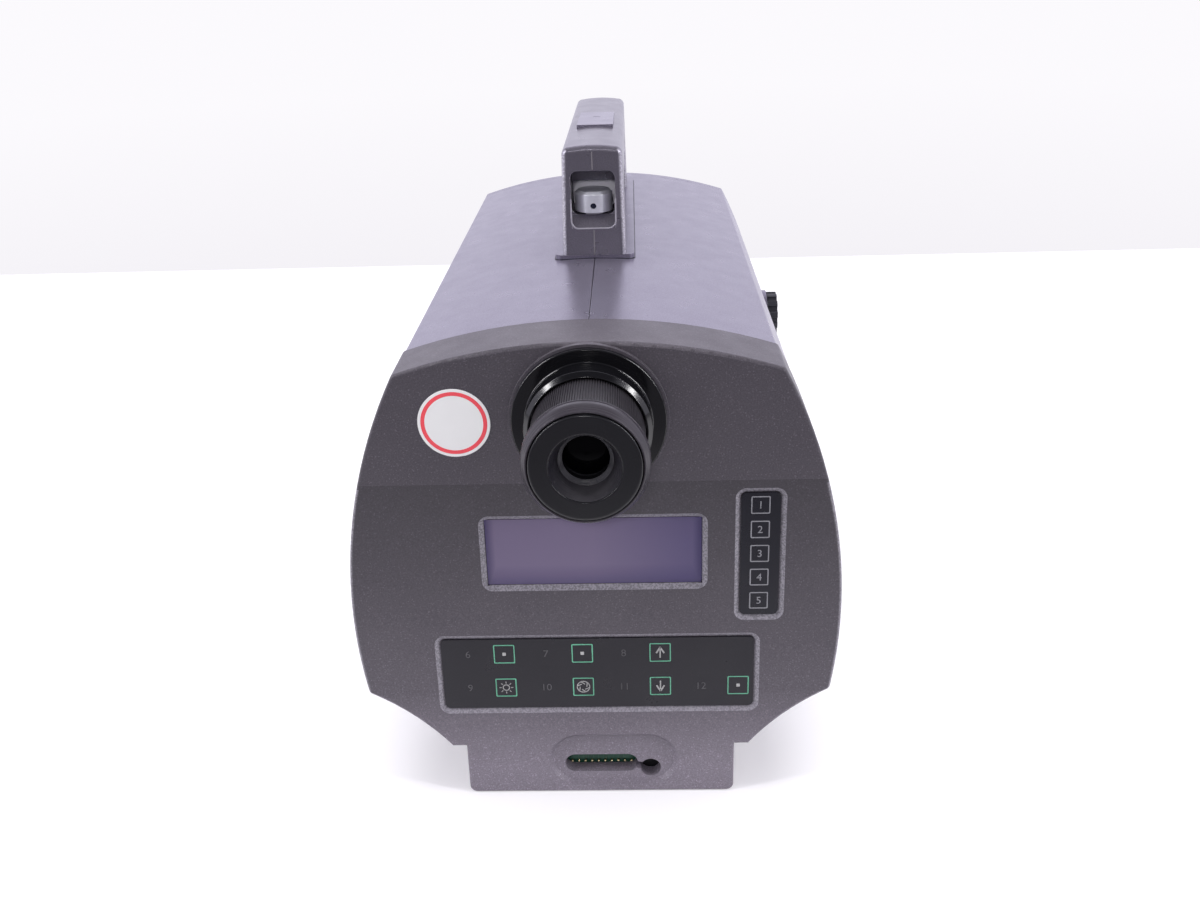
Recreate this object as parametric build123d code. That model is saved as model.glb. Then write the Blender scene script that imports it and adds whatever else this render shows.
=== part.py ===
from build123d import *
import math
import os

os.makedirs("parts", exist_ok=True)

# A telephoto spectroradiometer: a light meter that is aimed through an eyepiece.
# Millimetres, +Z up, +X to the operator's right, +Y from the operator to the target.
# The origin is on the flat underside, at the middle of the tripod socket.

# Overall sizes
body_width = 177.0
body_height = 181.0
body_length = 293.0
socket_back = 140.0
wall = 3.0
overrun = 5.0
running_gap = 0.3
sliding_gap = 0.08
snap = 0.01

panel_y = -socket_back
lens_end_y = panel_y + body_length
half_width = body_width / 2

# Cross-section of the body, as shares of the half width and the height
roof_corner_share = (0.742, 0.942)
widest_height_share = 0.433
side_low_share = (0.968, 0.250)
scoop_middle_share = (0.790, 0.1935)
step_width_share = 0.634
base_height = 21.3
base_width = 101.6
body_edge_radius = 2.0
base_corner_radius = 2.7

# Operator panel
bezel_depth = 25.0
crease_below_eyepiece = 23.6
panel_tilt_deg = 2.0
panel_edge_radius = 1.2
seam_gap = 0.3
housing_inset = 0.6
recess_bevel = 1.8
window_width = 77.0
window_height = 26.1
window_gap_share = 0.2358
window_depth = 1.5
frame_corner_radius = 2.0
keypad_width = 115.4
keypad_height = 29.9
keypad_gap_share = 0.2709
strip_width = 14.2
strip_height_share = 0.8616
strip_middle_x = 58.8
strip_middle_share = 0.5178
film_depth = 1.2
film_thickness = 0.6
film_play = 0.2
dish_width = 49.0
dish_height = 23.0
dish_middle_x = 5.1
dish_middle_z = 14.6
dish_depth = 1.6
slot_width = 27.8
slot_height = 7.8
slot_middle_x = 0.4
slot_middle_z = 12.1
slot_collar_width = 2.5
slot_collar_depth = 7.4
slot_notch_width = 3.0
peg_hole_radius = 3.9
peg_hole_x = 19.2
peg_hole_z = 9.8
panel_boss_radius = 4.5

# Screws, all alike: M4 pan heads
screw_radius = 2.0
screw_play = 0.2
screw_head_radius = 3.5
screw_head_height = 2.4
screw_length = 12.0
screw_upper_share = (0.61, 0.893)
screw_lower_share = (0.80, 0.292)
end_frame_width = 13.0
end_frame_depth = 3.0
cover_thickness = 5.0

# Base casting, the bench that stands on it, and the tripod bush
base_wall = 4.0
base_floor = 6.0
tripod_bush_radius = 8.0
tripod_bush_height = 14.0
tripod_bush_flange_radius = 10.0
tripod_bush_flange_height = 2.0
tripod_thread_radius = 3.175
tripod_boss_radius = 13.0
bench_z = 52.0
bench_thickness = 4.0
bench_width = 116.0
bench_start = 48.0
bench_end = 284.0
bench_post_radius = 6.0
bench_post_x = 31.0
bench_post_near_inset = 7.0
bench_post_far_inset = 24.0
bench_window_width = 92.0
bench_window_play = 4.0
bench_end_wall = 4.0
bench_end_wall_margin = 5.7
floor_opening = 76.0

# Carrying handle on its seat pad
handle_start = 108.0
handle_length = 163.0
handle_foot_width = 26.2
handle_top_width = 24.2
handle_near_rise = 45.2
handle_far_rise = 42.6
handle_crown = 1.2
handle_shoulder_radius = 3.0
handle_edge_radius = 2.2
leg_depth = 30.0
grip_height = 15.0
finger_corner_radius = 8.0
finger_edge_radius = 1.5
pad_thickness = 1.5
pad_near_inset = 0.8
pad_far_margin = 2.5
pad_width = 32.6
pad_corner_radius = 3.0
pocket_width = 18.0
pocket_floor_rise = 17.0
pocket_top_rise = 35.2
pocket_depth = 17.6
pocket_corner_radius = 3.0
scoop_height = 5.0
scoop_depth = 4.0
top_plate_start = 52.0
top_plate_length = 50.0
top_plate_width = 15.8
top_plate_rise = 1.0
top_plate_sink = 2.0
top_plate_slot_place = 31.5
top_plate_slot_length = 3.4
top_plate_slot_width = 0.9
rail_width = 26.0
rail_thickness = 6.0

# Lock screws of the handle
lock_knob_radius = 7.7
lock_knob_height = 8.3
lock_knob_chamfer = 1.2
lock_stud_radius = 3.0
lock_stud_play = 0.1
lock_hole_play = 0.5
lock_washer_radius = 5.6
lock_washer_thickness = 1.0
set_screw_radius = 1.2
set_screw_length = 3.6

# Eyepiece, as radii and as distances out of the upper panel face
eyepiece_drop = 27.4
eyepiece_boss_radius = 27.2
eyepiece_boss_rise = 1.6
eyepiece_flange_radius = 26.2
eyepiece_flange_face = 3.6
eyepiece_seat_radius = 21.4
eyepiece_seat_face = 12.6
eyepiece_seat_chamfer = 1.5
eyepiece_seat_bore = 19.5
guide_outer_radius = 17.6
guide_inner_radius = 15.9
guide_front = 22.0
guide_back = -16.0
guide_flange_radius = 22.0
guide_flange_thickness = 3.0
eyepiece_edge_chamfer = 0.4
eyepiece_seat_floor = 2.0
ring_rib_radius = 19.0
ring_root_radius = 18.6
ring_inner_radius = 17.95
ring_rib_count = 60
ring_rib_share = 0.5
ring_back = 8.6
ring_front = 33.0
rim_radius = 20.4
rim_front = 37.0
rim_face = 40.0
rim_face_radius = 18.1
rim_mouth_radius = 11.0
rim_throat_radius = 7.6
rim_throat_depth = 8.6
cell_outer_radius = 15.6
cell_inner_radius = 12.0
cell_flange_radius = 17.5
cell_flange_thickness = 2.0
cell_flange_front = 28.2
ring_lip_radius = 16.2
ring_lip_thickness = 1.0
eye_lens_from_front = 5.0
lens_play = 0.05
cell_back = -14.0
eye_lens_thickness = 4.0
eye_lens_bulge = 1.6
field_lens_from_back = 4.0

# Objective, as radii and as distances out of the lens end
lens_mount_radius = 41.0
lens_mount_flange = 5.0
lens_tube_outer = 30.0
lens_tube_inner = 28.0
lens_tube_inside = 10.0
lens_tube_front = 38.0
focus_ring_outer = 36.0
focus_ring_root = 35.1
focus_ring_inner = 30.5
focus_ring_back = 6.0
focus_ring_front = 33.0
focus_rib_count = 36
focus_rib_share = 0.6
focus_rib_margin = 4.0
barrel_outer = 34.0
barrel_skirt_inner = 30.5
barrel_inner_tube = 27.6
barrel_bore = 25.5
barrel_back = 33.5
barrel_front = 58.0
barrel_web_back = 40.0
barrel_edge_chamfer = 0.8
front_lens_front = 49.0
barrel_tube_back = -4.0
filter_thread_radius = 31.0
filter_thread_depth = 4.0
front_lens_thickness = 7.0
front_lens_bulge = 3.0
rear_lens_thickness = 5.0
rear_lens_bulge = 1.5
rear_lens_front = 16.0

# Measuring-field selector: knob, shaft and a rotor with three aperture mirrors
selector_back = 254.3
selector_drop = 27.0
selector_knob_radius = 12.0
selector_knob_thickness = 5.2
selector_seat_radius = 13.0
selector_flute_count = 12
selector_shaft_into_knob = 3.6
selector_shaft_end = 18.0
selector_flute_radius = 1.6
selector_knob_gap = 0.5
selector_shaft_radius = 3.0
selector_bush_radius = 6.0
selector_bush_flange_radius = 9.0
selector_bush_flange_thickness = 2.0
selector_bush_inside = 6.0
rotor_hub_radius = 6.0
rotor_width = 18.0
rotor_offset = 16.0
mirror_radius = 7.5
mirror_thickness = 1.5
mirror_holes = (1.6, 1.0, 0.6)
rotor_frame_thickness = 2.0
rotor_reach = 25.0
rotor_start_deg = 135.0
fold_deg = 45.0
cheek_gap = 2.0
cheek_thickness = 4.0
cheek_length = 28.0
cheek_back = 8.0
cheek_rise = 8.4
rotor_light_hole = 4.0

# Viewfinder path above the rotor
fold_mirror_length = 22.0
fold_mirror_thickness = 3.0
relay_tube_outer = 11.0
relay_tube_inner = 9.5
relay_start = 32.0
relay_end = 226.0
relay_lens_thickness = 4.0
relay_lens_bulge = 1.2

# Spectrograph on the bench
case_start = 62.0
case_end = 200.0
case_width = 108.0
cradle_gap = 3.6
case_wall = 3.0
lid_thickness = 3.0
cradle_width = 16.0
cradle_length = 10.0
cradle_inset = 20.0
cradle_share = 0.6
slit_width = 6.0
collimator_radius = 15.0
focusing_mirror_x = 33.0
collimator_thickness = 8.0
collimator_dish = 1.5
grating_side = 28.0
grating_thickness = 7.0
grating_turn_deg = 22.0
grating_x = -26.0
grating_from_end = 46.0
grating_stand_width = 18.0
detector_width = 44.0
detector_height = 40.0
detector_thickness = 1.6
detector_x = 27.0
detector_rise_share = 0.5676
detector_window_length = 26.0
detector_window_height = 8.0
detector_window_thickness = 4.0

# Shutter and filter wheel in front of the spectrograph
motor_radius = 9.0
motor_length = 12.0
wheel_radius = 17.0
wheel_thickness = 2.5
wheel_offset = 12.0
wheel_hub_radius = 4.0
wheel_shaft_radius = 1.5
wheel_hole_radius = 3.2
wheel_hole_count = 5
wheel_gap = 4.6
blade_thickness = 0.8
blade_gap = 1.4
blade_pivot_x = 24.0
blade_width = 6.0
blade_tip_radius = 5.0
blade_hub_radius = 3.6

# Boards, connectors and the power switch
board_thickness = 1.6
main_board_width = 52.0
main_board_length = 186.0
main_board_start = 62.0
main_board_z = 34.0
main_board_post_radius = 3.0
chip_width = 22.0
chip_length = 26.0
chip_height = 4.0
panel_board_width = 112.0
panel_board_height = 62.0
panel_board_drop = 5.85
panel_board_depth = 12.0
panel_board_post_radius = 3.0
module_width = 87.0
module_height = 34.0
module_thickness = 7.0
interface_board_width = 58.0
interface_board_middle_x = 5.0
interface_board_height = 16.0
interface_pin_count = 10
interface_pin_pitch = 2.54
interface_pin_radius = 0.55
interface_pin_length = 2.0
interface_pin_z = 10.4
header_height = 4.0
header_thickness = 1.6
io_drop = 11.8
serial_x = 0.0
serial_flange_length = 30.8
serial_flange_height = 12.5
serial_flange_thickness = 1.0
serial_shell_length = 18.0
serial_shell_height = 9.4
serial_shell_wall = 0.8
serial_shell_rise = 5.6
serial_body_depth = 10.0
serial_core_drop = 1.0
inlet_x = 34.0
inlet_radius = 6.0
inlet_flange_radius = 8.0
inlet_flange_thickness = 2.0
inlet_pin_radius = 1.05
inlet_bore_radius = 3.0
inlet_bore_depth = 9.0
inlet_depth = 14.0
rocker_x = -34.0
rocker_length = 12.0
rocker_height = 17.0
rocker_thickness = 6.0
rocker_gap = 0.5
rocker_well_length = 15.0
rocker_well_height = 21.0
rocker_bezel = 2.0
rocker_bezel_thickness = 1.6
rocker_well_depth = 16.0
rocker_well_wall = 1.0
rocker_pin_radius = 1.0
rocker_tilt_deg = 8.0

# Heights that follow the body height and one another
eyepiece_z = body_height - eyepiece_drop
crease_height = eyepiece_z - crease_below_eyepiece
panel_low_z = dish_middle_z + dish_height / 2
panel_high_z = eyepiece_z - eyepiece_boss_radius
panel_spare = panel_high_z - panel_low_z - window_height - keypad_height - 4 * recess_bevel
keypad_middle_z = panel_low_z + keypad_gap_share * panel_spare + recess_bevel + keypad_height / 2
window_middle_z = panel_high_z - window_gap_share * panel_spare - recess_bevel - window_height / 2
keypad_top_z = keypad_middle_z + keypad_height / 2 + recess_bevel
strip_height = strip_height_share * (crease_height - keypad_top_z)
strip_middle_z = keypad_top_z + strip_middle_share * (crease_height - keypad_top_z)
panel_board_middle_z = (keypad_middle_z + window_middle_z) / 2 - panel_board_drop
bench_top = bench_z + bench_thickness
case_top = eyepiece_z - relay_tube_outer - cradle_gap - lid_thickness
lid_top = case_top + lid_thickness
selector_z = case_top - selector_drop
objective_z = selector_z + rotor_offset * math.sqrt(0.5)
io_z = objective_z - lens_mount_radius - io_drop
cheek_top_z = eyepiece_z + cheek_rise
detector_room = case_top - bench_top - case_wall - detector_height
detector_z = bench_top + case_wall + detector_rise_share * detector_room + detector_height / 2
bench_window_top = io_z + rocker_well_height / 2 + bench_window_play
bench_wall_top = objective_z + lens_tube_outer + bench_end_wall_margin
handle_near_top_z = body_height + handle_near_rise
handle_far_top_z = body_height + handle_far_rise
pocket_floor_z = body_height + pocket_floor_rise
pocket_top_z = body_height + pocket_top_rise


def at_y(y):
    """The upright plane at y: its own x is +X and its own y is +Z."""
    return Plane(origin=(0, y, 0), x_dir=(1, 0, 0), z_dir=(0, -1, 0))


def along_y(outline, y_near, y_far):
    """Extrude an X-Z outline from y_near to y_far."""
    return extrude(at_y(y_far) * outline, amount=y_far - y_near)


def along_x(outline, x_from, x_to):
    """Extrude a Y-Z outline from x_from to x_to."""
    side_plane = Plane(origin=(x_from, 0, 0), x_dir=(0, 1, 0), z_dir=(1, 0, 0))
    return extrude(side_plane * outline, amount=x_to - x_from)


def along_z(outline, z_from, z_to):
    """Extrude an X-Y outline from z_from to z_to."""
    return extrude(Plane.XY.offset(z_from) * outline, amount=z_to - z_from)


def rod_y(radius, y_near, y_far, x=0, z=0):
    """A round rod along Y."""
    return along_y(Pos(x, z) * Circle(radius), y_near, y_far)


def ring_y(outer, inner, y_near, y_far, x=0, z=0):
    """A round tube along Y."""
    return along_y(Pos(x, z) * (Circle(outer) - Circle(inner)), y_near, y_far)


def rod_z(radius, z_from, z_to, x=0, y=0):
    """A round rod along Z."""
    return along_z(Pos(x, y) * Circle(radius), z_from, z_to)


def rod_x(radius, x_from, x_to, y=0, z=0):
    """A round rod along X."""
    return along_x(Pos(y, z) * Circle(radius), x_from, x_to)


def block(x_from, x_to, y_from, y_to, z_from, z_to):
    """A rectangular block between the given faces."""
    middle = Pos((x_from + x_to) / 2, (y_from + y_to) / 2)
    return along_z(middle * Rectangle(x_to - x_from, y_to - y_from), z_from, z_to)


def turned_y(profile, x=0, z=0):
    """Turn a closed outline of (radius, y) points about a line along Y."""
    outline = make_face(Polyline(*profile, close=True))
    return Pos(x, 0, z) * revolve(outline, Axis.Y)


def dome_arc(radius, edge_y, bulge):
    """An arc from the edge of a round dome to its top on the axis; bulge may be negative."""
    dome_radius = (radius * radius + bulge * bulge) / (2 * abs(bulge))
    half_angle = math.asin(radius / dome_radius) / 2
    drop = dome_radius * (1 - math.cos(half_angle))
    middle = (dome_radius * math.sin(half_angle), edge_y + bulge - math.copysign(drop, bulge))
    return ThreePointArc((radius, edge_y), middle, (0, edge_y + bulge))


def lens_y(radius, middle_y, thickness, bulge, z):
    """A glass disc along Y, domed on both sides."""
    near, far = middle_y - thickness / 2, middle_y + thickness / 2
    outline = make_face([
        Line((0, near - bulge), (0, far + bulge)), dome_arc(radius, far, bulge),
        Line((radius, far), (radius, near)), dome_arc(radius, near, -bulge),
    ])
    return Pos(0, 0, z) * revolve(outline, Axis.Y)


def sharp_outline():
    """The whole cross-section with sharp corners: bowed roof and sides, scooped foot, narrow base."""
    corner_x, corner_z = roof_corner_share[0] * half_width, roof_corner_share[1] * body_height
    low_x, low_z = side_low_share[0] * half_width, side_low_share[1] * body_height
    widest_z = widest_height_share * body_height
    scoop_x, scoop_z = scoop_middle_share[0] * half_width, scoop_middle_share[1] * body_height
    step_x = step_width_share * half_width
    return make_face([
        ThreePointArc((-corner_x, corner_z), (0, body_height), (corner_x, corner_z)),
        ThreePointArc((corner_x, corner_z), (half_width, widest_z), (low_x, low_z)),
        ThreePointArc((low_x, low_z), (scoop_x, scoop_z), (step_x, base_height)),
        Line((step_x, base_height), (-step_x, base_height)),
        ThreePointArc((-step_x, base_height), (-scoop_x, scoop_z), (-low_x, low_z)),
        ThreePointArc((-low_x, low_z), (-half_width, widest_z), (-corner_x, corner_z)),
    ])


def body_outline():
    """The cross-section with its long edges rounded."""
    shell = sharp_outline()
    step_x = step_width_share * half_width
    return fillet(shell.vertices().filter_by(lambda corner: abs(corner.X) > step_x + snap), body_edge_radius)


def base_outline():
    """The base block under the shell, with rounded lower corners."""
    block_outline = Pos(0, base_height / 2) * Rectangle(base_width, base_height)
    return fillet(block_outline.vertices().group_by(Axis.Y)[0], base_corner_radius)


def side_x(z):
    """The half width of the bowed side at height z."""
    ax, az = roof_corner_share[0] * half_width, roof_corner_share[1] * body_height
    bx, bz = half_width, widest_height_share * body_height
    cx, cz = side_low_share[0] * half_width, side_low_share[1] * body_height
    twice = 2 * (ax * (bz - cz) + bx * (cz - az) + cx * (az - bz))
    a2, b2, c2 = ax * ax + az * az, bx * bx + bz * bz, cx * cx + cz * cz
    middle_x = (a2 * (bz - cz) + b2 * (cz - az) + c2 * (az - bz)) / twice
    middle_z = (a2 * (cx - bx) + b2 * (ax - cx) + c2 * (bx - ax)) / twice
    radius = math.hypot(ax - middle_x, az - middle_z)
    return middle_x + math.sqrt(radius * radius - (z - middle_z) ** 2)


def export(solid, name):
    """Write one named piece as a STEP file."""
    export_step(solid, f"parts/{name}.step")


SECTION = body_outline()
BASE = base_outline()
HOUSING_OUTER = offset(SECTION, amount=-housing_inset)
SHARP = sharp_outline()
HOUSING_INNER = offset(SHARP, amount=-(housing_inset + wall), kind=Kind.INTERSECTION)
FRAME_INNER = offset(SHARP, amount=-(housing_inset + wall + end_frame_width), kind=Kind.INTERSECTION)
PANEL_INNER = offset(SHARP, amount=-wall, kind=Kind.INTERSECTION)
seam_y = panel_y + bezel_depth
housing_start = seam_y + seam_gap
housing_end = lens_end_y - cover_thickness
SCREW_PLACES = [
    (side * share[0] * half_width, share[1] * body_height)
    for share in (screw_upper_share, screw_lower_share)
    for side in (-1, 1)
]
LOWER_ZONE = Location((0, panel_y, crease_height), (-panel_tilt_deg, 0, 0))
mirror_y = panel_y + selector_back - rotor_offset * math.sqrt(0.5)
selector_y = panel_y + selector_back


selector_wall_x = side_x(selector_z) - housing_inset
knob_inner_x = side_x(selector_z - selector_knob_radius) - housing_inset + selector_knob_gap
knob_outer_x = knob_inner_x + selector_knob_thickness
shaft_outer_x = knob_inner_x + selector_shaft_into_knob
seat_face_x = knob_inner_x - selector_knob_gap


def screw_along_y(x, y_head, z, direction, length=screw_length):
    """A pan-head screw whose head sits on y_head and whose shank runs along direction."""
    tip = y_head + direction * length
    top = y_head - direction * screw_head_height
    shank = rod_y(screw_radius, min(y_head, tip), max(y_head, tip), x, z)
    head = rod_y(screw_head_radius, min(y_head, top), max(y_head, top), x, z)
    return shank + head


def in_lower_zone(outline, near, far):
    """Extrude an outline given as (x, z) on the tilted lower face, by depth behind it."""
    moved = Pos(0, -crease_height) * outline
    return LOWER_ZONE * along_y(moved, near, far)


def bevelled_recess(width, height, x, z, depth, radius):
    """A rectangular recess whose wall slopes out to the face."""
    floor_outline = Pos(x, z - crease_height) * RectangleRounded(width, height, radius)
    mouth_outline = Pos(x, z - crease_height) * RectangleRounded(
        width + 2 * recess_bevel, height + 2 * recess_bevel, radius + recess_bevel
    )
    slope = loft([at_y(0) * mouth_outline, at_y(depth) * floor_outline])
    clear = along_y(mouth_outline, -overrun, 0)
    return LOWER_ZONE * (slope + clear)


def stadium(width, height, x, z):
    """A slot outline with round ends."""
    return Pos(x, z) * SlotOverall(width, height)


def in_front_of_face(setback):
    """Everything in front of the two panel faces, moved back by setback."""
    slope = math.tan(math.radians(panel_tilt_deg))
    foot_y = panel_y - (crease_height + overrun) * slope + setback
    face_y = panel_y + setback
    front_y = foot_y - 2 * eyepiece_flange_radius
    top_z = body_height + overrun
    outline = make_face(Polyline(
        (front_y, top_z), (face_y, top_z), (face_y, crease_height),
        (foot_y, -overrun), (front_y, -overrun), close=True,
    ))
    return along_x(outline, -body_width, body_width)


def make_operator_panel():
    """The front moulding: face, tilted lower zone, base front and all openings."""
    front_y = panel_y - crease_height * math.tan(math.radians(panel_tilt_deg)) - overrun
    outer = along_y(SECTION, front_y, seam_y) + along_y(BASE, front_y, seam_y)
    outer = outer - in_front_of_face(0)
    front_edges = [
        edge for edge in outer.edges()
        if edge.bounding_box().max.Y < panel_y + panel_edge_radius
        and abs((edge @ 0.5).Z - crease_height) > panel_edge_radius
    ]
    outer = fillet(front_edges, panel_edge_radius)
    base_inner = Pos(0, base_height / 2 + wall) * Rectangle(base_width - 2 * wall, base_height)
    hollow = along_y(PANEL_INNER, front_y, seam_y + overrun) + along_y(base_inner, front_y, seam_y + overrun)
    hollow = hollow - in_front_of_face(wall)
    panel = outer - hollow
    panel += rod_y(eyepiece_boss_radius, panel_y - eyepiece_boss_rise, panel_y + wall, 0, eyepiece_z)
    panel = panel & (along_y(SECTION, front_y, seam_y) + along_y(BASE, front_y, seam_y))
    for x, z in SCREW_PLACES:
        lean = max(0, crease_height - z) * math.tan(math.radians(panel_tilt_deg))
        boss = rod_y(panel_boss_radius, panel_y + wall / 2 - lean, housing_start, x, z)
        panel += boss
        panel -= rod_y(screw_radius + screw_play, housing_start - screw_length, seam_y + overrun, x, z)
    for x in (-1, 1):
        post_x = x * (panel_board_width / 2 - 2 * panel_board_post_radius)
        post = Pos(post_x, panel_board_middle_z) * Circle(panel_board_post_radius)
        panel += in_lower_zone(post, wall / 2, panel_board_depth)
    panel -= rod_y(guide_outer_radius + running_gap, panel_y - overrun, panel_y + 2 * wall, 0, eyepiece_z)
    panel -= bevelled_recess(window_width, window_height, 0, window_middle_z, window_depth, frame_corner_radius)
    opening = Pos(0, window_middle_z) * Rectangle(window_width, window_height)
    panel -= in_lower_zone(opening, 0, 2 * wall)
    panel -= bevelled_recess(keypad_width, keypad_height, 0, keypad_middle_z, film_depth, frame_corner_radius)
    panel -= bevelled_recess(
        strip_width, strip_height - 2 * recess_bevel, strip_middle_x, strip_middle_z,
        film_depth, frame_corner_radius,
    )
    dish_floor = stadium(dish_width - 2 * dish_depth, dish_height - 2 * dish_depth, dish_middle_x, dish_middle_z)
    dish_mouth = stadium(dish_width, dish_height, dish_middle_x, dish_middle_z)
    lowered = Pos(0, -crease_height)
    dish = loft([at_y(0) * (lowered * dish_mouth), at_y(dish_depth) * (lowered * dish_floor)])
    panel -= LOWER_ZONE * (dish + along_y(lowered * dish_mouth, -overrun, 0))
    collar = stadium(
        slot_width + 2 * slot_collar_width, slot_height + 2 * slot_collar_width, slot_middle_x, slot_middle_z
    )
    panel += in_lower_zone(collar, dish_depth + (wall - dish_depth) / 2, slot_collar_depth)
    peg_boss = Pos(peg_hole_x, peg_hole_z) * Circle(peg_hole_radius + wall / 2)
    panel += in_lower_zone(peg_boss, dish_depth + (wall - dish_depth) / 2, slot_collar_depth)
    opening = stadium(slot_width, slot_height, slot_middle_x, slot_middle_z)
    opening += Pos(peg_hole_x, peg_hole_z) * Circle(peg_hole_radius)
    opening += slot_notch()
    panel -= in_lower_zone(opening, 0, slot_collar_depth + overrun)
    return panel


def slot_notch():
    """The short slanted notch between the slot and the peg hole."""
    end_x = slot_middle_x + (slot_width - slot_height) / 2
    run, drop = peg_hole_x - end_x, peg_hole_z - slot_middle_z
    middle = Pos(end_x + run / 2, slot_middle_z + drop / 2)
    turn = Rot(0, 0, math.degrees(math.atan2(drop, run)))
    return middle * turn * Rectangle(math.hypot(run, drop), slot_notch_width)


export(make_operator_panel(), "operator_panel")


# The two housing halves, the lens end cover and the base
def frame_ring(y_near, y_far):
    """A picture-frame rib inside the shell."""
    return along_y(HOUSING_INNER - FRAME_INNER, y_near, y_far)


def make_housing(side):
    """One half of the shell, split on the centre plane; side is -1 left, 1 right."""
    shell = along_y(HOUSING_OUTER - HOUSING_INNER, housing_start, housing_end)
    shell += frame_ring(housing_start, housing_start + end_frame_depth)
    shell += frame_ring(housing_end - end_frame_depth, housing_end)
    half_floor = floor_opening / 2
    middle_x = side * (half_width / 2 + seam_gap / 2)
    keep = Pos(middle_x, body_height / 2) * Rectangle(half_width, 2 * body_height)
    half = shell & along_y(keep, housing_start, housing_end)
    half -= block(
        -half_floor, half_floor, housing_start - overrun, housing_end + overrun,
        base_height - overrun, base_height + housing_inset + wall + end_frame_width + overrun,
    )
    for x, z in SCREW_PLACES:
        if x * side > 0:
            half += rod_y(panel_boss_radius, housing_end - screw_length, housing_end, x, z)
            half -= rod_y(screw_radius, housing_end - screw_length - overrun, housing_end + overrun, x, z)
            half -= rod_y(screw_radius + screw_play, housing_start - overrun, seam_y + screw_length, x, z)
    for x, y in base_screw_places():
        half -= rod_z(screw_radius, base_height - overrun, base_height + screw_length, x, y)
    well_room = Pos(rocker_x, io_z) * Rectangle(
        rocker_well_length + 2 * running_gap, rocker_well_height + 2 * running_gap
    )
    half -= along_y(well_room, lens_end_y - rocker_well_depth - running_gap, housing_end + overrun)
    for lock_y in (near_lock_y, far_lock_y):
        half -= rod_z(lock_stud_radius + lock_hole_play, rail_z, body_height + overrun, 0, lock_y)
    if side > 0:
        seat = rod_x(selector_seat_radius, selector_wall_x - wall, seat_face_x, selector_y, selector_z)
        half += seat - along_y(HOUSING_INNER, housing_start, housing_end)
        half -= rod_x(selector_bush_radius, 0, body_width, selector_y, selector_z)
    return half


pad_top_z = body_height - housing_inset + pad_thickness
leg_base_z = pad_top_z
handle_near_y = panel_y + handle_start
handle_far_y = handle_near_y + handle_length
near_lock_y = handle_near_y + pocket_depth / 2
far_lock_y = handle_far_y - pocket_depth / 2
rail_z = body_height - housing_inset - wall - rail_thickness


def make_lens_end_cover():
    """The end plate that carries the objective."""
    cover = along_y(HOUSING_OUTER, housing_end, lens_end_y)
    cover -= rod_y(lens_tube_outer, housing_end - overrun, lens_end_y + overrun, 0, objective_z)
    for x, z in SCREW_PLACES:
        cover -= rod_y(screw_radius + screw_play, housing_end - overrun, lens_end_y + overrun, x, z)
        sunk_y = lens_end_y - screw_head_height
        cover -= rod_y(screw_head_radius + screw_play, sunk_y, lens_end_y + overrun, x, z)
    serial_hole = Pos(serial_x, io_z) * Rectangle(serial_shell_length, serial_shell_height)
    rocker_hole = Pos(rocker_x, io_z) * Rectangle(rocker_well_length, rocker_well_height)
    cover -= along_y(serial_hole, housing_end - overrun, lens_end_y + overrun)
    cover -= along_y(rocker_hole, housing_end - overrun, lens_end_y + overrun)
    cover -= rod_y(inlet_radius, housing_end - overrun, lens_end_y + overrun, inlet_x, io_z)
    return cover


def bench_posts():
    """Places of the four posts under the optical bench, as (x, y)."""
    ends = (panel_y + bench_start + bench_post_near_inset, panel_y + bench_end - bench_post_far_inset)
    return [(side * bench_post_x, y) for y in ends for side in (-1, 1)]


def base_screw_places():
    """Places of the four screws that hold the housing halves down, as (x, y)."""
    x = (floor_opening + base_width) / 4
    ends = (housing_start + 2 * overrun + screw_length, housing_end - 2 * overrun - screw_length)
    return [(side * x, y) for y in ends for side in (-1, 1)]


def main_board_posts():
    """Places of the four stand-offs under the main board, as (x, y)."""
    inset = 2 * main_board_post_radius
    near_y = panel_y + main_board_start + inset
    far_y = panel_y + main_board_start + main_board_length - inset
    return [(side * (main_board_width / 2 - inset), y) for y in (near_y, far_y) for side in (-1, 1)]


def make_base_casting():
    """The tray under the shell: floor, walls, bench posts and tripod boss."""
    tray = along_y(BASE, housing_start, lens_end_y)
    tray -= block(
        -base_width / 2 + base_wall, base_width / 2 - base_wall,
        housing_start + base_wall, lens_end_y - base_wall, base_floor, base_height + overrun,
    )
    for x, y in bench_posts():
        tray += rod_z(bench_post_radius, base_floor / 2, bench_z, x, y)
    tray += rod_z(tripod_boss_radius, base_floor / 2, tripod_bush_height + base_wall, 0, 0)
    for x, y in base_screw_places():
        tray += rod_z(screw_head_radius + base_wall / 2, base_floor / 2, base_height + housing_inset, x, y)
    for x, y in main_board_posts():
        tray += rod_z(main_board_post_radius, base_floor / 2, main_board_z, x, y)
    bounds = along_y(Pos(0, base_height) * Rectangle(base_width, 2 * bench_z), housing_start, lens_end_y)
    tray = tray & bounds
    for x, y in base_screw_places():
        tray -= rod_z(screw_radius + screw_play, -overrun, base_height + overrun, x, y)
        head_top = base_height - screw_length / 2
        tray -= rod_z(screw_head_radius + screw_play, -overrun, head_top, x, y)
    for x, y in bench_posts():
        tray -= rod_z(screw_radius, bench_z - screw_length, bench_z + overrun, x, y)
    tray -= rod_z(tripod_bush_radius, -overrun, tripod_bush_height, 0, 0)
    tray -= rod_z(tripod_bush_flange_radius, -overrun, tripod_bush_flange_height, 0, 0)
    return tray


def make_tripod_bush():
    """The threaded metal bush on the origin."""
    bush = rod_z(tripod_bush_radius, 0, tripod_bush_height)
    bush += rod_z(tripod_bush_flange_radius, 0, tripod_bush_flange_height)
    bush -= rod_z(tripod_thread_radius, -overrun, tripod_bush_height - tripod_bush_flange_height)
    return bush


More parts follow.
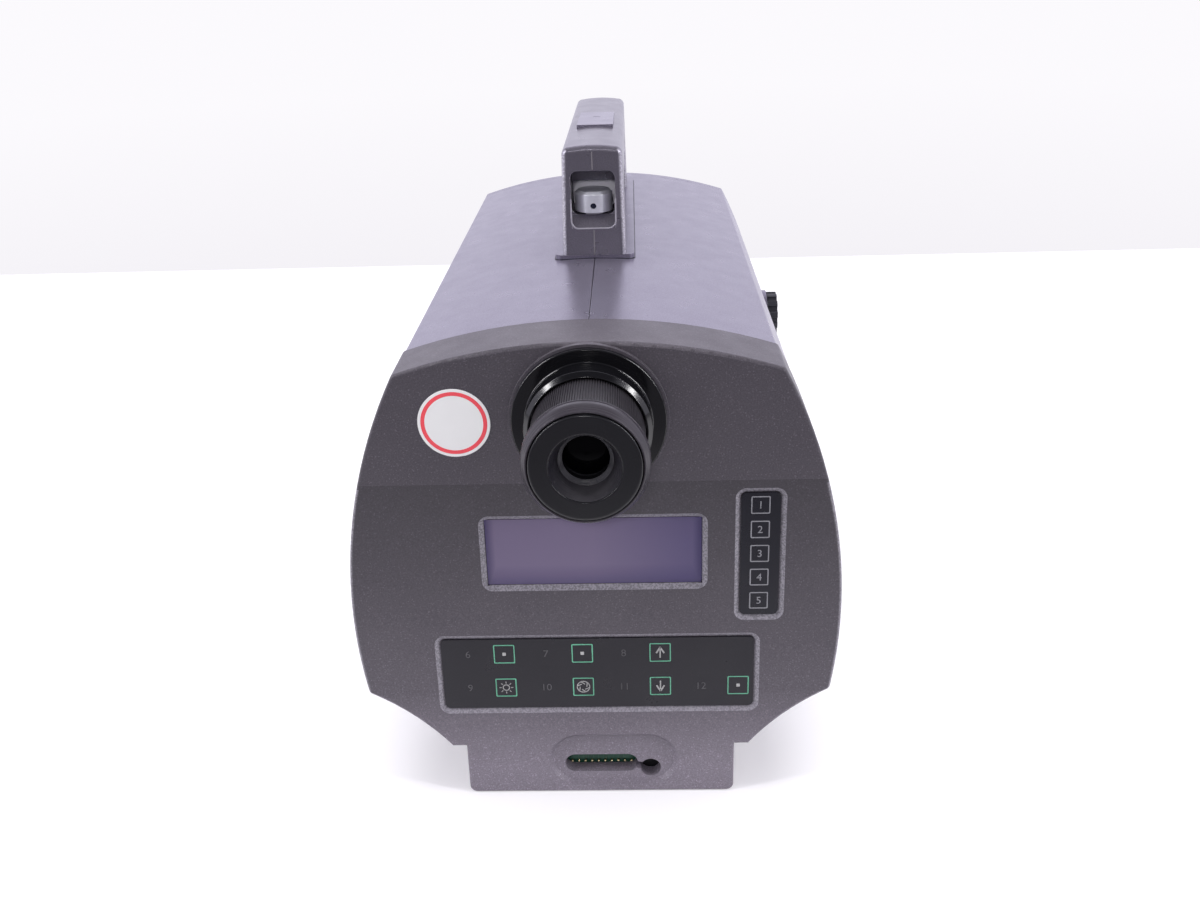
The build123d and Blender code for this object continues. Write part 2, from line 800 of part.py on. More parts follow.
def make_case_screws():
    """All the pan-head screws of the case, one node."""
    screws = []
    for x, z in SCREW_PLACES:
        screws.append(screw_along_y(x, lens_end_y - screw_head_height, z, -1))
        screws.append(screw_along_y(x, housing_start + end_frame_depth, z, -1))
    for x, y in base_screw_places():
        head_top = base_height - screw_length / 2
        shank = rod_z(screw_radius, head_top, head_top + screw_length * 3 / 4, x, y)
        screws.append(shank + rod_z(screw_head_radius, head_top - screw_head_height, head_top, x, y))
    for x, y in bench_posts():
        seat = bench_z + bench_thickness
        shank = rod_z(screw_radius, seat - screw_length, seat, x, y)
        screws.append(shank + rod_z(screw_head_radius, seat, seat + screw_head_height, x, y))
    return Compound(children=screws)


export(make_housing(-1), "housing_left")
export(make_housing(1), "housing_right")
export(make_lens_end_cover(), "lens_end_cover")
export(make_base_casting(), "base_casting")
export(make_tripod_bush(), "tripod_bush")
export(make_case_screws(), "case_screws")


# The carrying handle, its seat pad, cover plate and the rail inside the roof
def grip_top_z(y):
    """The height of the grip's ridge, which falls towards the far end."""
    share = (y - handle_near_y) / handle_length
    return handle_near_top_z + share * (handle_far_top_z - handle_near_top_z)


def handle_section():
    """The tapered cross-section of the handle, with a crowned top and round shoulders."""
    foot, shoulder = handle_foot_width / 2, handle_top_width / 2
    foot_z, shoulder_z = leg_base_z - overrun, handle_near_top_z - handle_crown
    outline = make_face([
        ThreePointArc((-shoulder, shoulder_z), (0, handle_near_top_z), (shoulder, shoulder_z)),
        Polyline((shoulder, shoulder_z), (foot, foot_z), (-foot, foot_z), (-shoulder, shoulder_z)),
    ])
    return fillet(outline.vertices().group_by(Axis.Y)[-1], handle_shoulder_radius)


def make_handle():
    """The cast carrying handle with a screw pocket in each leg."""
    drop_deg = math.degrees(math.atan2(handle_near_top_z - handle_far_top_z, handle_length))
    bar = along_y(handle_section(), handle_near_y - overrun, handle_far_y + overrun)
    ridge = Pos(0, handle_near_y, handle_near_top_z)
    bar = ridge * Rot(-drop_deg, 0, 0) * Pos(0, -handle_near_y, -handle_near_top_z) * bar
    handle = bar & block(
        -handle_foot_width, handle_foot_width, handle_near_y, handle_far_y,
        leg_base_z, handle_near_top_z + overrun,
    )
    end_edges = [
        edge for edge in handle.edges()
        if min(abs((edge @ 0.5).Y - y) for y in (handle_near_y, handle_far_y)) < snap
        and (edge @ 0.5).Z > leg_base_z + snap
    ]
    handle = fillet(end_edges, handle_edge_radius)
    gap_top = handle_far_top_z - grip_height
    middle_y = (handle_near_y + handle_far_y) / 2
    gap = Pos(middle_y, (leg_base_z + gap_top) / 2) * Rectangle(
        handle_length - 2 * leg_depth, gap_top - leg_base_z
    )
    gap = fillet(gap.vertices().group_by(Axis.Y)[-1], finger_corner_radius)
    handle -= along_x(gap, -handle_foot_width, handle_foot_width)
    gap_edges = [
        edge for edge in handle.edges()
        if handle_near_y + leg_depth - snap < (edge @ 0.5).Y < handle_far_y - leg_depth + snap
        and leg_base_z + snap < (edge @ 0.5).Z < gap_top + snap
    ]
    handle = fillet(gap_edges, finger_edge_radius)
    handle -= handle_pocket(handle_near_y, 1)
    handle -= handle_pocket(handle_far_y, -1)
    for lock_y in (near_lock_y, far_lock_y):
        handle -= rod_z(lock_stud_radius + lock_hole_play, leg_base_z - overrun, pocket_top_z, 0, lock_y)
    return handle - top_plate_block()


def handle_pocket(face_y, inward):
    """The pocket for a lock screw, with a thumb scoop under its mouth."""
    height = pocket_top_z - pocket_floor_z
    mouth = Pos(0, pocket_floor_z + height / 2) * RectangleRounded(pocket_width, height, pocket_corner_radius)
    ends = sorted((face_y - inward * overrun, face_y + inward * pocket_depth))
    pocket = along_y(mouth, *ends)
    outline = make_face(Polyline(
        (face_y - inward * overrun, pocket_floor_z - scoop_height - overrun * scoop_height / scoop_depth),
        (face_y + inward * scoop_depth, pocket_floor_z),
        (face_y + inward * scoop_depth, pocket_floor_z + pocket_corner_radius),
        (face_y - inward * overrun, pocket_floor_z + pocket_corner_radius), close=True,
    ))
    scoop = along_x(outline, -pocket_width / 2, pocket_width / 2)
    scoop_height_all = scoop_height + pocket_corner_radius
    limit = Pos(0, pocket_floor_z + pocket_corner_radius - scoop_height_all / 2) * RectangleRounded(
        pocket_width, scoop_height_all + pocket_corner_radius, pocket_corner_radius
    )
    scoop_ends = sorted((face_y - inward * overrun, face_y + inward * scoop_depth))
    return pocket + (scoop & along_y(limit, *scoop_ends))


def top_plate_block():
    """The space of the cover plate in the grip."""
    start = handle_near_y + top_plate_start
    end = start + top_plate_length
    low = grip_top_z(end) - top_plate_sink
    return block(-top_plate_width / 2, top_plate_width / 2, start, end, low, handle_near_top_z + overrun)


def make_top_plate():
    """The small cover plate set in the grip, proud of it at its near end."""
    start = handle_near_y + top_plate_start
    end = start + top_plate_length
    low = grip_top_z(end) - top_plate_sink
    side = make_face(Polyline(
        (start, low), (end, low), (end, grip_top_z(end)), (start, grip_top_z(start) + top_plate_rise),
        close=True,
    ))
    plate = along_x(side, -top_plate_width / 2, top_plate_width / 2)
    slot_y = start + top_plate_slot_place
    return plate - block(
        -top_plate_slot_length / 2, top_plate_slot_length / 2,
        slot_y - top_plate_slot_width / 2, slot_y + top_plate_slot_width / 2,
        low + top_plate_sink / 2, handle_near_top_z + overrun,
    )


def make_seat_pad():
    """The pad between the handle and the bowed roof."""
    start, end = handle_near_y + pad_near_inset, handle_far_y + pad_far_margin
    outline = Pos(0, (start + end) / 2) * RectangleRounded(pad_width, end - start, pad_corner_radius)
    pad = along_z(outline, pad_top_z - 2 * wall, pad_top_z)
    pad -= along_y(HOUSING_OUTER, start - overrun, end + overrun)
    for lock_y in (near_lock_y, far_lock_y):
        pad -= rod_z(lock_stud_radius + lock_hole_play, rail_z, body_height + overrun, 0, lock_y)
    return pad


def make_handle_rail():
    """The steel rail under the roof that the lock screws bite into."""
    start, end = handle_near_y, handle_far_y
    roof_z = body_height - housing_inset - wall
    rail = block(-rail_width / 2, rail_width / 2, start, end, rail_z, roof_z)
    rail = rail & along_y(HOUSING_INNER, start, end)
    for lock_y in (near_lock_y, far_lock_y):
        rail -= rod_z(lock_stud_radius + lock_stud_play, rail_z - overrun, roof_z + overrun, 0, lock_y)
    return rail


def make_lock(name, lock_y, outward):
    """One lock screw: knob, stud, set screw and thrust washer, as separate pieces."""
    washer_top = pocket_floor_z + lock_washer_thickness
    washer = rod_z(lock_washer_radius, pocket_floor_z, washer_top, 0, lock_y)
    washer -= rod_z(lock_stud_radius + lock_stud_play, pocket_floor_z - overrun, washer_top + overrun, 0, lock_y)
    knob_top = washer_top + lock_knob_height
    knob = rod_z(lock_knob_radius, washer_top, knob_top, 0, lock_y)
    knob = chamfer(knob.edges().group_by(Axis.Z)[-1], lock_knob_chamfer)
    knob -= rod_z(lock_stud_radius, washer_top - overrun, knob_top - lock_stud_radius, 0, lock_y)
    stud = rod_z(lock_stud_radius, rail_z, knob_top - lock_stud_radius, 0, lock_y)
    set_z = washer_top + lock_knob_height / 3
    tip = lock_y + outward * lock_stud_radius
    mouth = lock_y + outward * (lock_knob_radius + overrun)
    knob -= rod_y(set_screw_radius, *sorted((tip, mouth)), 0, set_z)
    outer = tip + outward * set_screw_length
    set_screw = rod_y(set_screw_radius, *sorted((tip, outer)), 0, set_z)
    export(washer, f"{name}_thrust_washer")
    export(knob, f"{name}_lock_knob")
    export(stud, f"{name}_lock_stud")
    export(set_screw, f"{name}_set_screw")


export(make_handle(), "carry_handle")
export(make_top_plate(), "handle_top_plate")
export(make_seat_pad(), "handle_seat_pad")
export(make_handle_rail(), "handle_rail")
make_lock("near", near_lock_y, -1)
make_lock("far", far_lock_y, 1)


# The eyepiece: fixed flange and guide, sliding lens cell, turning dioptre ring
def out_of_panel(distance):
    """The y of a place that stands this far out of the upper panel face."""
    return panel_y - distance


def turned_eyepiece(profile):
    """Turn (radius, distance out of the panel) points about the eyepiece axis."""
    return turned_y([(radius, out_of_panel(out)) for radius, out in profile], 0, eyepiece_z)


def make_eyepiece_flange():
    """The flange with the raised seat that the dioptre ring runs in."""
    bore = guide_outer_radius + sliding_gap
    floor = eyepiece_flange_face + eyepiece_seat_floor
    edge = eyepiece_edge_chamfer
    return turned_eyepiece([
        (bore, eyepiece_boss_rise), (eyepiece_flange_radius, eyepiece_boss_rise),
        (eyepiece_flange_radius, eyepiece_flange_face - edge),
        (eyepiece_flange_radius - edge, eyepiece_flange_face),
        (eyepiece_seat_radius, eyepiece_flange_face),
        (eyepiece_seat_radius, eyepiece_seat_face - eyepiece_seat_chamfer),
        (eyepiece_seat_radius - eyepiece_seat_chamfer, eyepiece_seat_face),
        (eyepiece_seat_bore, eyepiece_seat_face), (eyepiece_seat_bore, floor), (bore, floor),
    ])


def make_eyepiece_guide():
    """The fixed tube that the lens cell slides in, flanged behind the panel."""
    flange_front = -wall
    flange_back = -wall - guide_flange_thickness
    return turned_eyepiece([
        (guide_inner_radius, guide_front), (guide_outer_radius, guide_front),
        (guide_outer_radius, flange_front), (guide_flange_radius, flange_front),
        (guide_flange_radius, flange_back), (guide_outer_radius, flange_back),
        (guide_outer_radius, guide_back), (guide_inner_radius, guide_back),
    ])


def make_lens_cell():
    """The sliding tube with the eyepiece lenses."""
    flange_back = cell_flange_front - cell_flange_thickness
    return turned_eyepiece([
        (cell_inner_radius, cell_flange_front), (cell_flange_radius, cell_flange_front),
        (cell_flange_radius, flange_back), (cell_outer_radius, flange_back),
        (cell_outer_radius, cell_back), (cell_inner_radius, cell_back),
    ])


def ribs_around_y(root, tip, y_near, y_far, count, share, z):
    """Lengthwise ribs round a ring, from the root radius to the tip radius."""
    rib_width = 2 * math.pi * tip / count * share
    bar = Pos((root + tip) / 2) * Rectangle(tip - root, rib_width)
    wheel = Circle(tip) - Circle(root)
    pattern = Sketch() + [Rot(0, 0, 360 / count * step) * bar for step in range(count)]
    return Pos(0, 0, z) * along_y(wheel & pattern, y_near, y_far)


def make_dioptre_ring():
    """The ribbed ring that is turned to focus the eyepiece."""
    lip_back = cell_flange_front - cell_flange_thickness - running_gap - ring_lip_thickness
    ring = turned_eyepiece([
        (ring_inner_radius, ring_back), (ring_root_radius, ring_back),
        (ring_root_radius, ring_front), (ring_inner_radius, ring_front),
        (ring_inner_radius, lip_back + ring_lip_thickness),
        (ring_lip_radius, lip_back + ring_lip_thickness),
        (ring_lip_radius, lip_back), (ring_inner_radius, lip_back),
    ])
    return ring + ribs_around_y(
        (ring_root_radius + ring_inner_radius) / 2, ring_rib_radius,
        out_of_panel(ring_front), out_of_panel(ring_back), ring_rib_count, ring_rib_share, eyepiece_z,
    )


def make_eyecup_rim():
    """The rim in front of the ribs, with its bevelled face and conical mouth."""
    back = cell_flange_front + running_gap
    return turned_eyepiece([
        (rim_throat_radius, back), (ring_inner_radius, back), (ring_inner_radius, ring_front),
        (rim_radius, ring_front), (rim_radius, rim_front), (rim_face_radius, rim_face),
        (rim_mouth_radius, rim_face), (rim_throat_radius, rim_face - rim_throat_depth),
    ])


export(make_eyepiece_flange(), "eyepiece_flange")
export(make_eyepiece_guide(), "eyepiece_guide")
export(make_lens_cell(), "eye_lens_cell")
eye_lens_y = out_of_panel(cell_flange_front - eye_lens_from_front)
field_lens_y = out_of_panel(cell_back + field_lens_from_back)
glass_radius = cell_inner_radius - lens_play
export(lens_y(glass_radius, eye_lens_y, eye_lens_thickness, eye_lens_bulge, eyepiece_z), "eye_lens")
export(lens_y(glass_radius, field_lens_y, eye_lens_thickness, eye_lens_bulge, eyepiece_z), "field_lens")
export(make_dioptre_ring(), "dioptre_ring")
export(make_eyecup_rim(), "eyecup_rim")


# Display, membrane keys and the boards behind the panel
def plate_in_lower_zone(width, height, x, z, near, thickness, radius=0):
    """A flat plate parallel to the tilted face, near mm behind it."""
    outline = RectangleRounded(width, height, radius) if radius else Rectangle(width, height)
    return in_lower_zone(Pos(x, z) * outline, near, near + thickness)


def make_panel_board():
    """The board behind the keys and the display, held on two posts."""
    board = plate_in_lower_zone(
        panel_board_width, panel_board_height, 0, panel_board_middle_z, panel_board_depth, board_thickness
    )
    chip = Pos(0, panel_board_middle_z) * Rectangle(chip_length, chip_width)
    return board + in_lower_zone(chip, panel_board_depth + board_thickness, panel_board_depth + board_thickness + chip_height)


def make_interface_pins():
    """The row of contacts seen through the slot."""
    pins = []
    for step in range(interface_pin_count):
        offset_x = (step - (interface_pin_count - 1) / 2) * interface_pin_pitch
        outline = Pos(slot_middle_x + offset_x, interface_pin_z) * Circle(interface_pin_radius)
        pins.append(in_lower_zone(outline, slot_collar_depth - interface_pin_length, slot_collar_depth))
    return Compound(children=pins)


def make_interface_board():
    """The board that closes the slot from behind, with the header over its contacts."""
    board = plate_in_lower_zone(
        interface_board_width, interface_board_height, interface_board_middle_x, slot_middle_z,
        slot_collar_depth, board_thickness,
    )
    header_low = interface_pin_z + interface_pin_radius
    header_width = slot_width - slot_height / 2
    header = Pos(slot_middle_x, header_low + header_height / 2) * Rectangle(header_width, header_height)
    return board + in_lower_zone(header, slot_collar_depth - header_thickness, slot_collar_depth)


film_near = film_depth - film_thickness
window_near = window_depth
export(plate_in_lower_zone(
    window_width - 2 * film_play, window_height - 2 * film_play, 0, window_middle_z,
    window_near, wall - window_depth), "display_window")
export(plate_in_lower_zone(
    module_width, module_height, 0, window_middle_z, wall, module_thickness), "display_module")
export(plate_in_lower_zone(
    keypad_width - 2 * film_play, keypad_height - 2 * film_play, 0, keypad_middle_z,
    film_near, film_thickness, frame_corner_radius), "keypad_film")
export(plate_in_lower_zone(
    strip_width - 2 * film_play, strip_height - 2 * recess_bevel - 2 * film_play, strip_middle_x,
    strip_middle_z, film_near, film_thickness, frame_corner_radius), "strip_film")
export(make_panel_board(), "panel_board")
export(make_interface_board(), "interface_board")
export(make_interface_pins(), "interface_pins")


# The objective: fixed mount, turning focus ring, sliding front barrel
def turned_objective(profile):
    """Turn (radius, distance out of the lens end) points about the objective axis."""
    return turned_y([(radius, lens_end_y + out) for radius, out in profile], 0, objective_z)


def make_lens_mount():
    """The flange on the lens end and the fixed tube."""
    return turned_objective([
        (lens_tube_inner, -lens_tube_inside), (lens_tube_outer, -lens_tube_inside),
        (lens_tube_outer, 0), (lens_mount_radius, 0),
        (lens_mount_radius, lens_mount_flange - eyepiece_edge_chamfer),
        (lens_mount_radius - eyepiece_edge_chamfer, lens_mount_flange),
        (lens_tube_outer, lens_mount_flange), (lens_tube_outer, lens_tube_front),
        (lens_tube_inner, lens_tube_front),
    ])


def make_focus_ring():
    """The knurled focus ring."""
    ring = turned_objective([
        (focus_ring_inner, focus_ring_back), (focus_ring_root, focus_ring_back),
        (focus_ring_root, focus_ring_front), (focus_ring_inner, focus_ring_front),
    ])
    return ring + ribs_around_y(
        (focus_ring_root + focus_ring_inner) / 2, focus_ring_outer,
        lens_end_y + focus_ring_back + focus_rib_margin, lens_end_y + focus_ring_front - focus_rib_margin,
        focus_rib_count, focus_rib_share, objective_z,
    )


def make_front_barrel():
    """The sliding barrel: inner tube, outer skirt and filter seat."""
    edge = barrel_edge_chamfer
    seat = barrel_front - filter_thread_depth
    return turned_objective([
        (barrel_bore, barrel_tube_back), (barrel_inner_tube, barrel_tube_back),
        (barrel_inner_tube, barrel_web_back), (barrel_skirt_inner, barrel_web_back),
        (barrel_skirt_inner, barrel_back), (barrel_outer, barrel_back),
        (barrel_outer, barrel_front - edge), (barrel_outer - edge, barrel_front),
        (filter_thread_radius, barrel_front), (filter_thread_radius, seat),
        (barrel_bore, front_lens_front),
    ])


export(make_lens_mount(), "lens_mount")
export(make_focus_ring(), "focus_ring")
export(make_front_barrel(), "front_barrel")
glass_radius = barrel_bore - lens_play
front_lens_y = lens_end_y + front_lens_front - front_lens_thickness / 2
rear_lens_y = lens_end_y + rear_lens_front - rear_lens_thickness / 2
export(lens_y(glass_radius, front_lens_y, front_lens_thickness, front_lens_bulge, objective_z), "front_lens")
export(lens_y(glass_radius, rear_lens_y, rear_lens_thickness, rear_lens_bulge, objective_z), "rear_lens")


# The measuring-field selector
def on_selector(piece):
    """Move a piece made round the X axis to the selector axis."""
    return Pos(0, selector_y, selector_z) * piece


def make_selector_knob():
    """The fluted knob on the right-hand side."""
    outline = Circle(selector_knob_radius)
    for step in range(selector_flute_count):
        flute = Pos(selector_knob_radius) * Circle(selector_flute_radius)
        outline -= Rot(0, 0, 360 / selector_flute_count * step) * flute
    knob = along_x(outline, knob_inner_x, knob_outer_x)
    knob -= rod_x(selector_shaft_radius, knob_inner_x - overrun, shaft_outer_x)
    return on_selector(knob)


def make_selector_bush():
    """The bush in the right half shell."""
    inner_x = selector_wall_x - wall - selector_bush_flange_thickness
    bush = on_selector(rod_x(selector_bush_radius, inner_x - selector_bush_inside, seat_face_x))
    flange_end = inner_x + selector_bush_flange_thickness + wall
    flange = on_selector(rod_x(selector_bush_flange_radius, inner_x, flange_end))
    bush += flange & along_y(HOUSING_INNER, housing_start, housing_end)
    return bush - on_selector(rod_x(selector_shaft_radius + sliding_gap, 0, body_width))


def rotor_frame(step):
    """One of three paddles: a plate with a light hole, at its place round the axis."""
    plate = block(
        -rotor_width / 2, rotor_width / 2, 0, rotor_reach,
        -rotor_frame_thickness / 2, rotor_frame_thickness / 2,
    )
    plate -= rod_z(rotor_light_hole, -overrun, overrun, 0, rotor_offset)
    return Rot(rotor_start_deg + 360 / len(mirror_holes) * step, 0, 0) * plate


def make_aperture_rotor():
    """The rotor that brings one aperture mirror at a time into the beam."""
    rotor = rod_x(rotor_hub_radius, -rotor_width / 2, rotor_width / 2)
    for step in range(len(mirror_holes)):
        rotor += rotor_frame(step)
    rotor -= rod_x(selector_shaft_radius, -rotor_width, rotor_width)
    return on_selector(rotor)


def make_aperture_mirrors():
    """Three mirrors, each with a hole of another size."""
    mirrors = []
    for step, hole in enumerate(mirror_holes):
        near = -rotor_frame_thickness / 2 - mirror_thickness
        mirror = rod_z(mirror_radius, near, -rotor_frame_thickness / 2, 0, rotor_offset)
        mirror -= rod_z(hole / 2, near - overrun, overrun, 0, rotor_offset)
        mirrors.append(on_selector(Rot(rotor_start_deg + 360 / len(mirror_holes) * step, 0, 0) * mirror))
    return Compound(children=mirrors)


export(make_selector_knob(), "selector_knob")
export(on_selector(rod_x(selector_shaft_radius, -selector_shaft_end, shaft_outer_x)), "selector_shaft")
export(make_selector_bush(), "selector_bush")
export(make_aperture_rotor(), "aperture_rotor")
export(make_aperture_mirrors(), "aperture_mirrors")


# The optical bench and what stands on it
cheek_inner_x = rotor_width / 2 + cheek_gap


def make_optical_bench():
    """The bench plate with the two cheeks of the rotor and the end wall."""
    start, end = panel_y + bench_start, panel_y + bench_end
    bench = block(-bench_width / 2, bench_width / 2, start, end, bench_z, bench_top)
    cheek_start = selector_y + cheek_back - cheek_length
    for side in (-1, 1):
        inner, outer = sorted((side * cheek_inner_x, side * (cheek_inner_x + cheek_thickness)))
        bench += block(inner, outer, cheek_start, selector_y + cheek_back, bench_z, cheek_top_z)
    bench += block(-bench_width / 2, bench_width / 2, end - bench_end_wall, end, bench_z, bench_wall_top)
    bench -= rod_y(lens_tube_outer, end - 2 * bench_end_wall, end + overrun, 0, objective_z)
    half_window = bench_window_width / 2
    bench -= block(-half_window, half_window, end - bench_end_wall, end + overrun, bench_top, bench_window_top)
    bench -= on_selector(rod_x(selector_shaft_radius + sliding_gap, -bench_width / 2, bench_width / 2))
    bench -= on_selector(rod_x(rotor_reach + running_gap, -cheek_inner_x, cheek_inner_x))
    for x, y in bench_posts():
        bench -= rod_z(screw_radius + screw_play, bench_z - overrun, bench_top + overrun, x, y)
    return bench


def make_fold_mirror():
    """The mirror that turns the view towards the eyepiece, held between the cheeks."""
    plate = block(
        -cheek_inner_x, cheek_inner_x, -fold_mirror_length / 2, fold_mirror_length / 2,
        0, fold_mirror_thickness,
    )
    return Pos(0, mirror_y, eyepiece_z) * Rot(-fold_deg, 0, 0) * plate


def make_relay_lenses():
    """The two lenses inside the viewfinder tube."""
    radius = relay_tube_inner - lens_play
    start, end = panel_y + relay_start, panel_y + relay_end
    places = (start + (end - start) / 8, end - (end - start) / 8)
    lenses = [lens_y(radius, y, relay_lens_thickness, relay_lens_bulge, eyepiece_z) for y in places]
    return Compound(children=lenses)


def make_spectrograph_case():
    """The open-topped light-tight case with its slit and the grating pillar."""
    start, end = panel_y + case_start, panel_y + case_end
    half = case_width / 2
    case = block(-half, half, start, end, bench_top, case_top)
    case -= block(
        -half + case_wall, half - case_wall, start + case_wall, end - case_wall,
        bench_top + case_wall, case_top + overrun,
    )
    grating_y = end - grating_from_end
    case += rod_z(grating_stand_width / 2, bench_top, objective_z - grating_side / 2, grating_x, grating_y)
    slit = Pos(0, objective_z) * Rectangle(slit_width / 8, slit_width)
    case -= along_y(slit, end - 2 * case_wall, end + overrun)
    return case


def make_spectrograph_lid():
    """The lid, with the two cradles that carry the viewfinder tube."""
    start, end = panel_y + case_start, panel_y + case_end
    half = case_width / 2
    lid = block(-half, half, start, end, case_top, lid_top)
    cradle_top = eyepiece_z - relay_tube_outer * (1 - cradle_share)
    for y in (start + cradle_inset, end - cradle_inset):
        lid += block(
            -cradle_width / 2, cradle_width / 2, y - cradle_length / 2, y + cradle_length / 2,
            case_top, cradle_top,
        )
    lid -= rod_y(relay_tube_outer, start - overrun, end + overrun, 0, eyepiece_z)
    return lid


def make_spectrograph_mirrors():
    """Collimating and focusing mirrors on the near wall of the case."""
    y = panel_y + case_start + case_wall
    mirrors = []
    for x in (0, focusing_mirror_x):
        face = y + collimator_thickness
        outline = make_face([
            Line((0, y), (collimator_radius, y)), Line((collimator_radius, y), (collimator_radius, face)),
            dome_arc(collimator_radius, face, -collimator_dish), Line((0, face - collimator_dish), (0, y)),
        ])
        mirrors.append(Pos(x, 0, objective_z) * revolve(outline, Axis.Y))
    return Compound(children=mirrors)


def make_grating():
    """The ruled grating block on its pillar."""
    half, depth = grating_side / 2, grating_thickness / 2
    grating = block(-half, half, -depth, depth, -half, half)
    grating_y = panel_y + case_end - grating_from_end
    return Pos(grating_x, grating_y, objective_z) * Rot(0, 0, grating_turn_deg) * grating


def make_detector_board():
    """The detector on its board, flat against the far wall of the case."""
    wall_y = panel_y + case_end - case_wall
    board = Pos(detector_x, detector_z) * Rectangle(detector_width, detector_height)
    window = Pos(detector_x, detector_z) * Rectangle(detector_window_length, detector_window_height)
    face = wall_y - detector_thickness
    return along_y(board, face, wall_y) + along_y(window, face - detector_window_thickness, face)


export(make_optical_bench(), "optical_bench")
export(make_fold_mirror(), "fold_mirror")
export(ring_y(
    relay_tube_outer, relay_tube_inner, panel_y + relay_start, panel_y + relay_end, 0, eyepiece_z
), "relay_tube")
export(make_relay_lenses(), "relay_lenses")
export(make_spectrograph_case(), "spectrograph_case")
export(make_spectrograph_lid(), "spectrograph_lid")
export(make_spectrograph_mirrors(), "spectrograph_mirrors")
export(make_grating(), "grating")
export(make_detector_board(), "detector_board")


# Shutter and filter wheel
motor_back = panel_y + case_end
motor_face = motor_back + motor_length
wheel_z = objective_z - wheel_offset


def make_motor(x, z):
    """A small motor on the case, with its shaft bore."""
    motor = rod_y(motor_radius, motor_back, motor_face, x, z)
    return motor - rod_y(wheel_shaft_radius + sliding_gap, motor_face - motor_length / 2, motor_face + overrun, x, z)


def make_filter_wheel():
    """The filter wheel on its shaft."""
    near = motor_face + wheel_gap
    wheel = rod_y(wheel_radius, near, near + wheel_thickness)
    for step in range(wheel_hole_count):
        hole = Rot(0, 0, 360 / wheel_hole_count * step) * (Pos(0, wheel_offset) * Circle(wheel_hole_radius))
        wheel -= along_y(hole, near - overrun, near + overrun)
    wheel += rod_y(wheel_hub_radius, near, near + 2 * wheel_thickness)
    wheel += rod_y(wheel_shaft_radius, motor_face - motor_length / 3, near)
    return Pos(0, 0, wheel_z) * wheel


def make_shutter_blade():
    """The swinging shutter blade on its shaft."""
    near = motor_face + blade_gap
    arm = Pos(blade_pivot_x / 2) * Rectangle(blade_pivot_x, blade_width)
    outline = arm + Circle(blade_tip_radius) + Pos(blade_pivot_x) * Circle(blade_hub_radius)
    blade = along_y(outline, near, near + blade_thickness)
    blade += rod_y(wheel_shaft_radius, motor_face - motor_length / 3, near, blade_pivot_x)
    return Pos(0, 0, objective_z) * blade


export(Compound(children=[make_motor(0, wheel_z), make_motor(blade_pivot_x, objective_z)]), "wheel_and_shutter_motors")
export(make_filter_wheel(), "filter_wheel")
export(make_shutter_blade(), "shutter_blade")


# Main board, connectors and the power switch
def make_main_board():
    """The main board on its stand-offs, with its largest chips."""
    start = panel_y + main_board_start
    half = main_board_width / 2
    board_top = main_board_z + board_thickness
    board = block(-half, half, start, start + main_board_length, main_board_z, board_top)
    for share in (1 / 4, 1 / 2, 3 / 4):
        y = start + share * main_board_length
        board += block(
            -chip_width / 2, chip_width / 2, y - chip_length / 2, y + chip_length / 2,
            board_top, board_top + chip_height,
        )
    return board


def make_serial_connector():
    """The nine-way connector: flange, metal shell and sunk core."""
    flange = Pos(serial_x, io_z) * Rectangle(serial_flange_length, serial_flange_height)
    shell = Rectangle(serial_shell_length, serial_shell_height)
    core = Rectangle(serial_shell_length - 2 * serial_shell_wall, serial_shell_height - 2 * serial_shell_wall)
    place = Pos(serial_x, io_z)
    front = lens_end_y + serial_shell_rise
    connector = along_y(flange, lens_end_y, lens_end_y + serial_flange_thickness)
    connector += along_y(place * shell, lens_end_y - serial_body_depth, front)
    return connector - along_y(place * core, front - serial_shell_rise + serial_core_drop, front + overrun)


def make_power_inlet():
    """The round power inlet with its centre pin."""
    inlet = rod_y(inlet_radius, lens_end_y - inlet_depth, lens_end_y)
    inlet += rod_y(inlet_flange_radius, lens_end_y, lens_end_y + inlet_flange_thickness)
    front = lens_end_y + inlet_flange_thickness
    inlet -= rod_y(inlet_bore_radius, front - inlet_bore_depth, front + overrun)
    inlet += rod_y(inlet_pin_radius, front - inlet_bore_depth, front - inlet_flange_thickness)
    return Pos(inlet_x, 0, io_z) * inlet


rocker_axis_y = lens_end_y + rocker_bezel_thickness - rocker_thickness / 2


def make_switch_body():
    """The well and bezel of the power switch, with the two pivot pins."""
    inner = Rectangle(rocker_well_length - 2 * rocker_well_wall, rocker_well_height - 2 * rocker_well_wall)
    well = Rectangle(rocker_well_length, rocker_well_height)
    bezel = Rectangle(rocker_well_length + 2 * rocker_bezel, rocker_well_height + 2 * rocker_bezel)
    back = lens_end_y - rocker_well_depth
    front = lens_end_y + rocker_bezel_thickness
    body = along_y(well, back, front) + along_y(bezel, lens_end_y, front)
    body -= along_y(inner, back + rocker_well_wall, front + overrun)
    pins = rod_x(rocker_pin_radius, -rocker_well_length / 2, rocker_well_length / 2, rocker_axis_y)
    gap = rocker_length / 2 - rocker_gap
    pins -= block(-gap, gap, back, front, -rocker_well_height, rocker_well_height)
    return Pos(rocker_x, 0, io_z) * (body + pins)


def make_power_rocker():
    """The rocker, tilted to its off side."""
    half, thick = rocker_height / 2, rocker_thickness / 2
    outline = make_face([
        Line((-thick, -half), (thick, -half)),
        ThreePointArc((thick, -half), (thick * 3 / 4, 0), (thick, half)),
        Line((thick, half), (-thick, half)), Line((-thick, half), (-thick, -half)),
    ])
    rocker = along_x(outline, -rocker_length / 2, rocker_length / 2)
    rocker -= rod_x(rocker_pin_radius + sliding_gap, -rocker_length, rocker_length)
    return Pos(rocker_x, rocker_axis_y, io_z) * Rot(rocker_tilt_deg, 0, 0) * rocker


